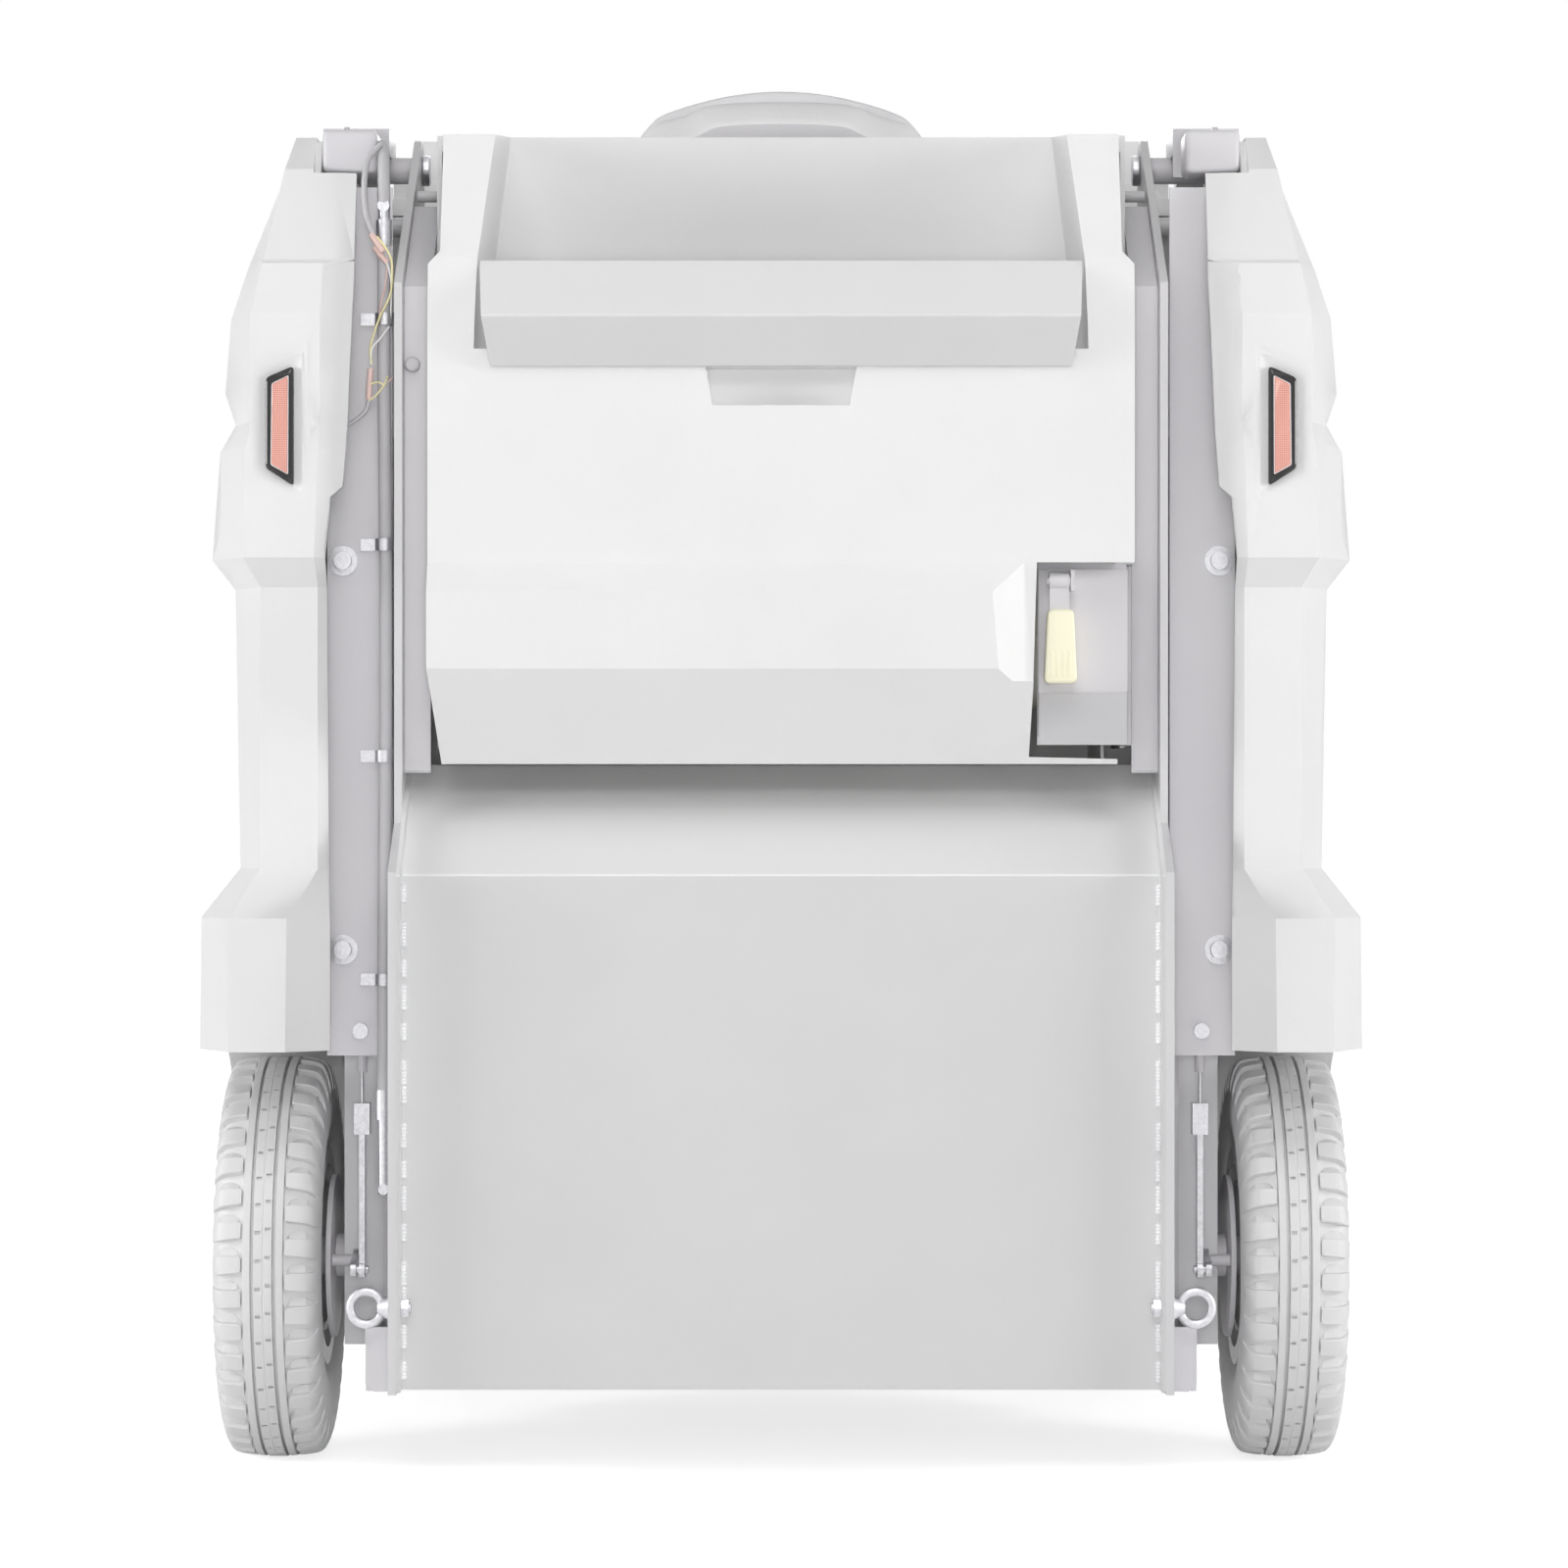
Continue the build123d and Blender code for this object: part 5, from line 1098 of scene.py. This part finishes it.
# The buffer, in metres and radians
buffer_place = Vector((-0.371, -0.926, 1.120))
buffer_root_r, buffer_tip_r, buffer_height, buffer_round = 0.0082, 0.0068, 0.012, 0.002
buffer_sides, rim_angle = 32, 1.0
bm = bmesh.new()
rearward = Matrix.Rotation(radians(90), 4, "X")
place = Matrix.Translation(buffer_place) @ rearward
cone(bm, buffer_sides, buffer_root_r, buffer_tip_r, buffer_height, place)
rims = [edge for edge in bm.edges if edge.calc_face_angle() > rim_angle]
round_edges(bm, rims, buffer_round)
new_piece("gap_buffer", bm, "hose_rubber", "hopper", sharp=40)

# %% [markdown]
# ## Lever grip
# The yellow grip is a moulded slab that widens towards its foot. It is lofted through rounded outlines like
# the tail lights, with the front face pulled in for a soft crown, and four low ribs give the fingers hold.

# %% Lever grip
grip_corners = [(0.2945, 0.7980), (0.2910, 0.8720), (0.2650, 0.8720), (0.2615, 0.7980)]
grip_round = 0.0065
grip_middle = Vector((0.278, 0.835))
# Layers from the root to the crown: how far the outline is pulled in, and its Y
grip_layers = [(0.10, -0.9690), (0, -0.9715), (0, -0.9895), (0.03, -0.9915), (0.09, -0.9926), (0.2, -0.9930)]
# Ribs in millimetres
rib_count, rib_first_x, rib_pitch, rib_width = 4, 267.5, 6, 3
rib_outline = oblong(-993.6, -991, 804, 830)
outline = rounded_loop(grip_corners, grip_round)
rings = [([point.lerp(grip_middle, share) for point in outline], y) for share, y in grip_layers]
bm = bmesh.new()
lofted(bm, 1, rings, close=(0, len(rings) - 1))
for rib in range(rib_count):
    rib_x = rib_first_x + rib_pitch * rib
    plate_prism(bm, (rib_x, rib_x + rib_width), rib_outline, sheet_round)
new_piece("lever_grip_mould", bm, "lever_yellow", "shaker_lever", ["lever_grip"], sharp=50)

# %% [markdown]
# ## Weld beads
# The hopper's rear sheet is welded to its side plates by short runs of weld. Each run is a row of flattened
# drops that overlap, as the welder's torch leaves them. A bump in the material could draw them, but drops
# show at the edge of the sheet too.

# %% Weld beads
bead_x, bead_y, bead_top_z = 0.3748, -1.0012, 0.596
bead_runs, run_pitch, run_drift = 15, 0.0332, 0.004
run_length, run_growth = 0.020, 0.003
drift_cycle, length_cycle = 3, 4
drop_pitch, drop_r, drop_flat = 0.0034, 0.0036, 0.75
bm = bmesh.new()
for sign in (-1, 1):
    for run in range(bead_runs):
        top = bead_top_z - run * run_pitch - run_drift * (run % drift_cycle)
        length = run_length + run_growth * ((run * 2 + (sign > 0)) % length_cycle)
        for drop in range(int(length / drop_pitch)):
            ball = bmesh.ops.create_icosphere(bm, subdivisions=2, radius=drop_r)["verts"]
            bmesh.ops.scale(bm, vec=(1.0, 1.0, drop_flat), verts=ball)
            bmesh.ops.translate(bm, vec=(sign * bead_x, bead_y, top - drop * drop_pitch), verts=ball)
new_piece("hopper_welds", bm, "weld_bead", "hopper", sharp=60)

# %% [markdown]
# ## Lashing eyes
# The forged eyes at the foot of the hopper are a round bar bent to a ring, on a collar that meets the side
# plate. The nut sits inside. bmesh has no ring to start from, so a circle is spun once round a middle
# beside it.

# %% Lashing eyes
eye_x, eye_y, eye_z = 0.410, -1.015, 0.180
ring_r, bar_r = 0.0161, 0.0046
ring_steps, bar_sides = 40, 14
# Collar, shank and nut: sides, radius towards the middle of the machine, radius away from it, and both ends
eye_parts = [
    (28, 0.0120, 0.0070, 0.3882, 0.3990),
    (16, 0.0050, 0.0050, 0.3660, 0.3890),
    (6, 0.0098, 0.0098, 0.3680, 0.3758),
]
bm = bmesh.new()
across = Matrix.Rotation(radians(90), 4, "Y")
for sign in (-1, 1):
    middle = Vector((sign * eye_x, eye_y, eye_z))
    bar = bmesh.ops.create_circle(bm, segments=bar_sides, radius=bar_r)["verts"]
    bmesh.ops.rotate(bm, cent=(0, 0, 0), matrix=Matrix.Rotation(radians(90), 3, "Z"), verts=bar)
    bmesh.ops.translate(bm, vec=middle + Vector((ring_r, 0, 0)), verts=bar)
    loop = list({edge for vert in bar for edge in vert.link_edges})
    spin_once(bm, bar + loop, middle, (0, 1, 0), ring_steps)
    for sides, inner_r, outer_r, inner_x, outer_x in eye_parts:
        radii = (outer_r, inner_r) if sign < 0 else (inner_r, outer_r)
        place = Matrix.Translation((sign * (inner_x + outer_x) / 2, eye_y, eye_z))
        cone(bm, sides, *radii, outer_x - inner_x, place @ across)
bmesh.ops.remove_doubles(bm, verts=bm.verts, dist=seam_gap)
bmesh.ops.recalc_face_normals(bm, faces=bm.faces)
new_piece("lashing_eye_rings", bm, "zinc", "hopper", ["lashing_eyes"], sharp=40)

# %% [markdown]
# ## Light wires
# The tail lights hang on thin wires with crimped red connectors, and the hose bends over the top of its post.
# Each is a tube swept along a smooth curve through a few points, so a handful of numbers gives a loose bend.

# %% Light wires
path_cuts = 5
# Finish, radius and points of every run, in millimetres
wire_runs = [
    ("wire_yellow", 1.1, [
        (-406, -931, 1248), (-398, -932, 1238), (-392, -931, 1226), (-391, -930, 1210), (-392, -930, 1194),
        (-396, -931, 1182), (-403, -932, 1168), (-409, -931, 1151), (-413, -929, 1136), (-412, -927, 1120),
    ]),
    ("wire_yellow", 0.9, [(-413, -928, 1100), (-406, -930, 1102), (-399, -930, 1099)]),
    ("wire_yellow", 0.9, [(-415, -926, 1084), (-408, -929, 1088), (-399, -930, 1099), (-396, -926, 1108)]),
    ("wire_white", 1.0, [
        (-397, -929, 1224), (-394, -930, 1214), (-392, -929, 1203), (-392, -928, 1186), (-393, -926, 1160),
    ]),
    ("wire_white", 1.0, [(-394, -928, 1158), (-402, -930, 1147), (-411, -929, 1136), (-413, -927, 1120)]),
    ("wire_red", 0.9, [(-396, -928, 1218), (-398, -930, 1198), (-402, -930, 1182), (-404, -928, 1166)]),
    ("wire_red", 3.6, [(-412, -929, 1251), (-406, -930, 1242), (-400, -930, 1233)]),
    ("wire_red", 3.0, [(-409, -927, 1238), (-403, -928, 1230), (-396, -928, 1222)]),
    ("wire_red", 3.0, [(-413, -926, 1116), (-414, -926, 1101), (-415, -926, 1085)]),
    ("wire_red", 0.9, [(-395, -928, 1102), (-391, -926, 1107)]),
    ("hose_rubber", 3.0, [
        (-404, -918, 1342), (-415, -922, 1328), (-419, -926, 1307), (-418, -928, 1276), (-414, -929, 1261),
        (-410, -929, 1250),
    ]),
    ("hose_rubber", 6.5, [
        (-400, -921, 1284), (-400, -922, 1312), (-401, -914, 1334), (-403, -895, 1344), (-404, -877, 1330),
        (-404, -872, 1290),
    ]),
    ("hose_rubber", 2.2, [
        (-415, -926, 1084), (-419, -925, 1072), (-440, -924, 1058), (-478, -930, 1050), (-500, -938, 1048),
        (-500, -951, 1046),
    ]),
    ("hose_rubber", 2.2, [
        (446, -911, 1060), (462, -922, 1055), (478, -930, 1050), (500, -938, 1048), (500, -951, 1046),
    ]),
]


def smooth_path(points, cuts):
    """Points on a smooth curve through the given points."""
    knots = [Vector(point) / 1000 for point in points]
    knots = [2 * knots[0] - knots[1]] + knots + [2 * knots[-1] - knots[-2]]
    path = []
    for a, b, c, d in zip(knots, knots[1:], knots[2:], knots[3:]):
        for index in range(cuts):
            t = index / cuts
            bend = 2 * a - 5 * b + 4 * c - d
            twist = 3 * b - a - 3 * c + d
            path.append(0.5 * (2 * b + (c - a) * t + bend * t * t + twist * t**3))
    return path + [knots[-2]]


def tube(bm, path, radius, sides=8):
    """A closed round tube along a path. Each ring starts from the one before it, so nothing twists."""
    rings = []
    up = Vector((0, -1, 0))
    for index, point in enumerate(path):
        along = (path[min(index + 1, len(path) - 1)] - path[max(index - 1, 0)]).normalized()
        beside = along.cross(up).normalized()
        up = beside.cross(along).normalized()
        ring = []
        for step in range(sides):
            turn = 2 * pi * step / sides
            ring.append(bm.verts.new(point + (beside * cos(turn) + up * sin(turn)) * radius))
        rings.append(ring)
    skin(bm, rings)
    bm.faces.new(reversed(rings[0]))
    bm.faces.new(rings[-1])


wire_forms = {}
for finish, radius, points in wire_runs:
    bm = wire_forms.setdefault(finish, bmesh.new())
    tube(bm, smooth_path(points, path_cuts), radius / 1000)
for finish, bm in wire_forms.items():
    bmesh.ops.recalc_face_normals(bm, faces=bm.faces)
    replaced = ["light_wires"] if finish == "wire_yellow" else []
    new_piece(f"light_{finish}", bm, finish, "chassis", replaced, sharp=50)

# %% [markdown]
# ## Visual box
# The box round every visible piece is printed.

# %% Visual box
low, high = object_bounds()
print("visual box", low, high)
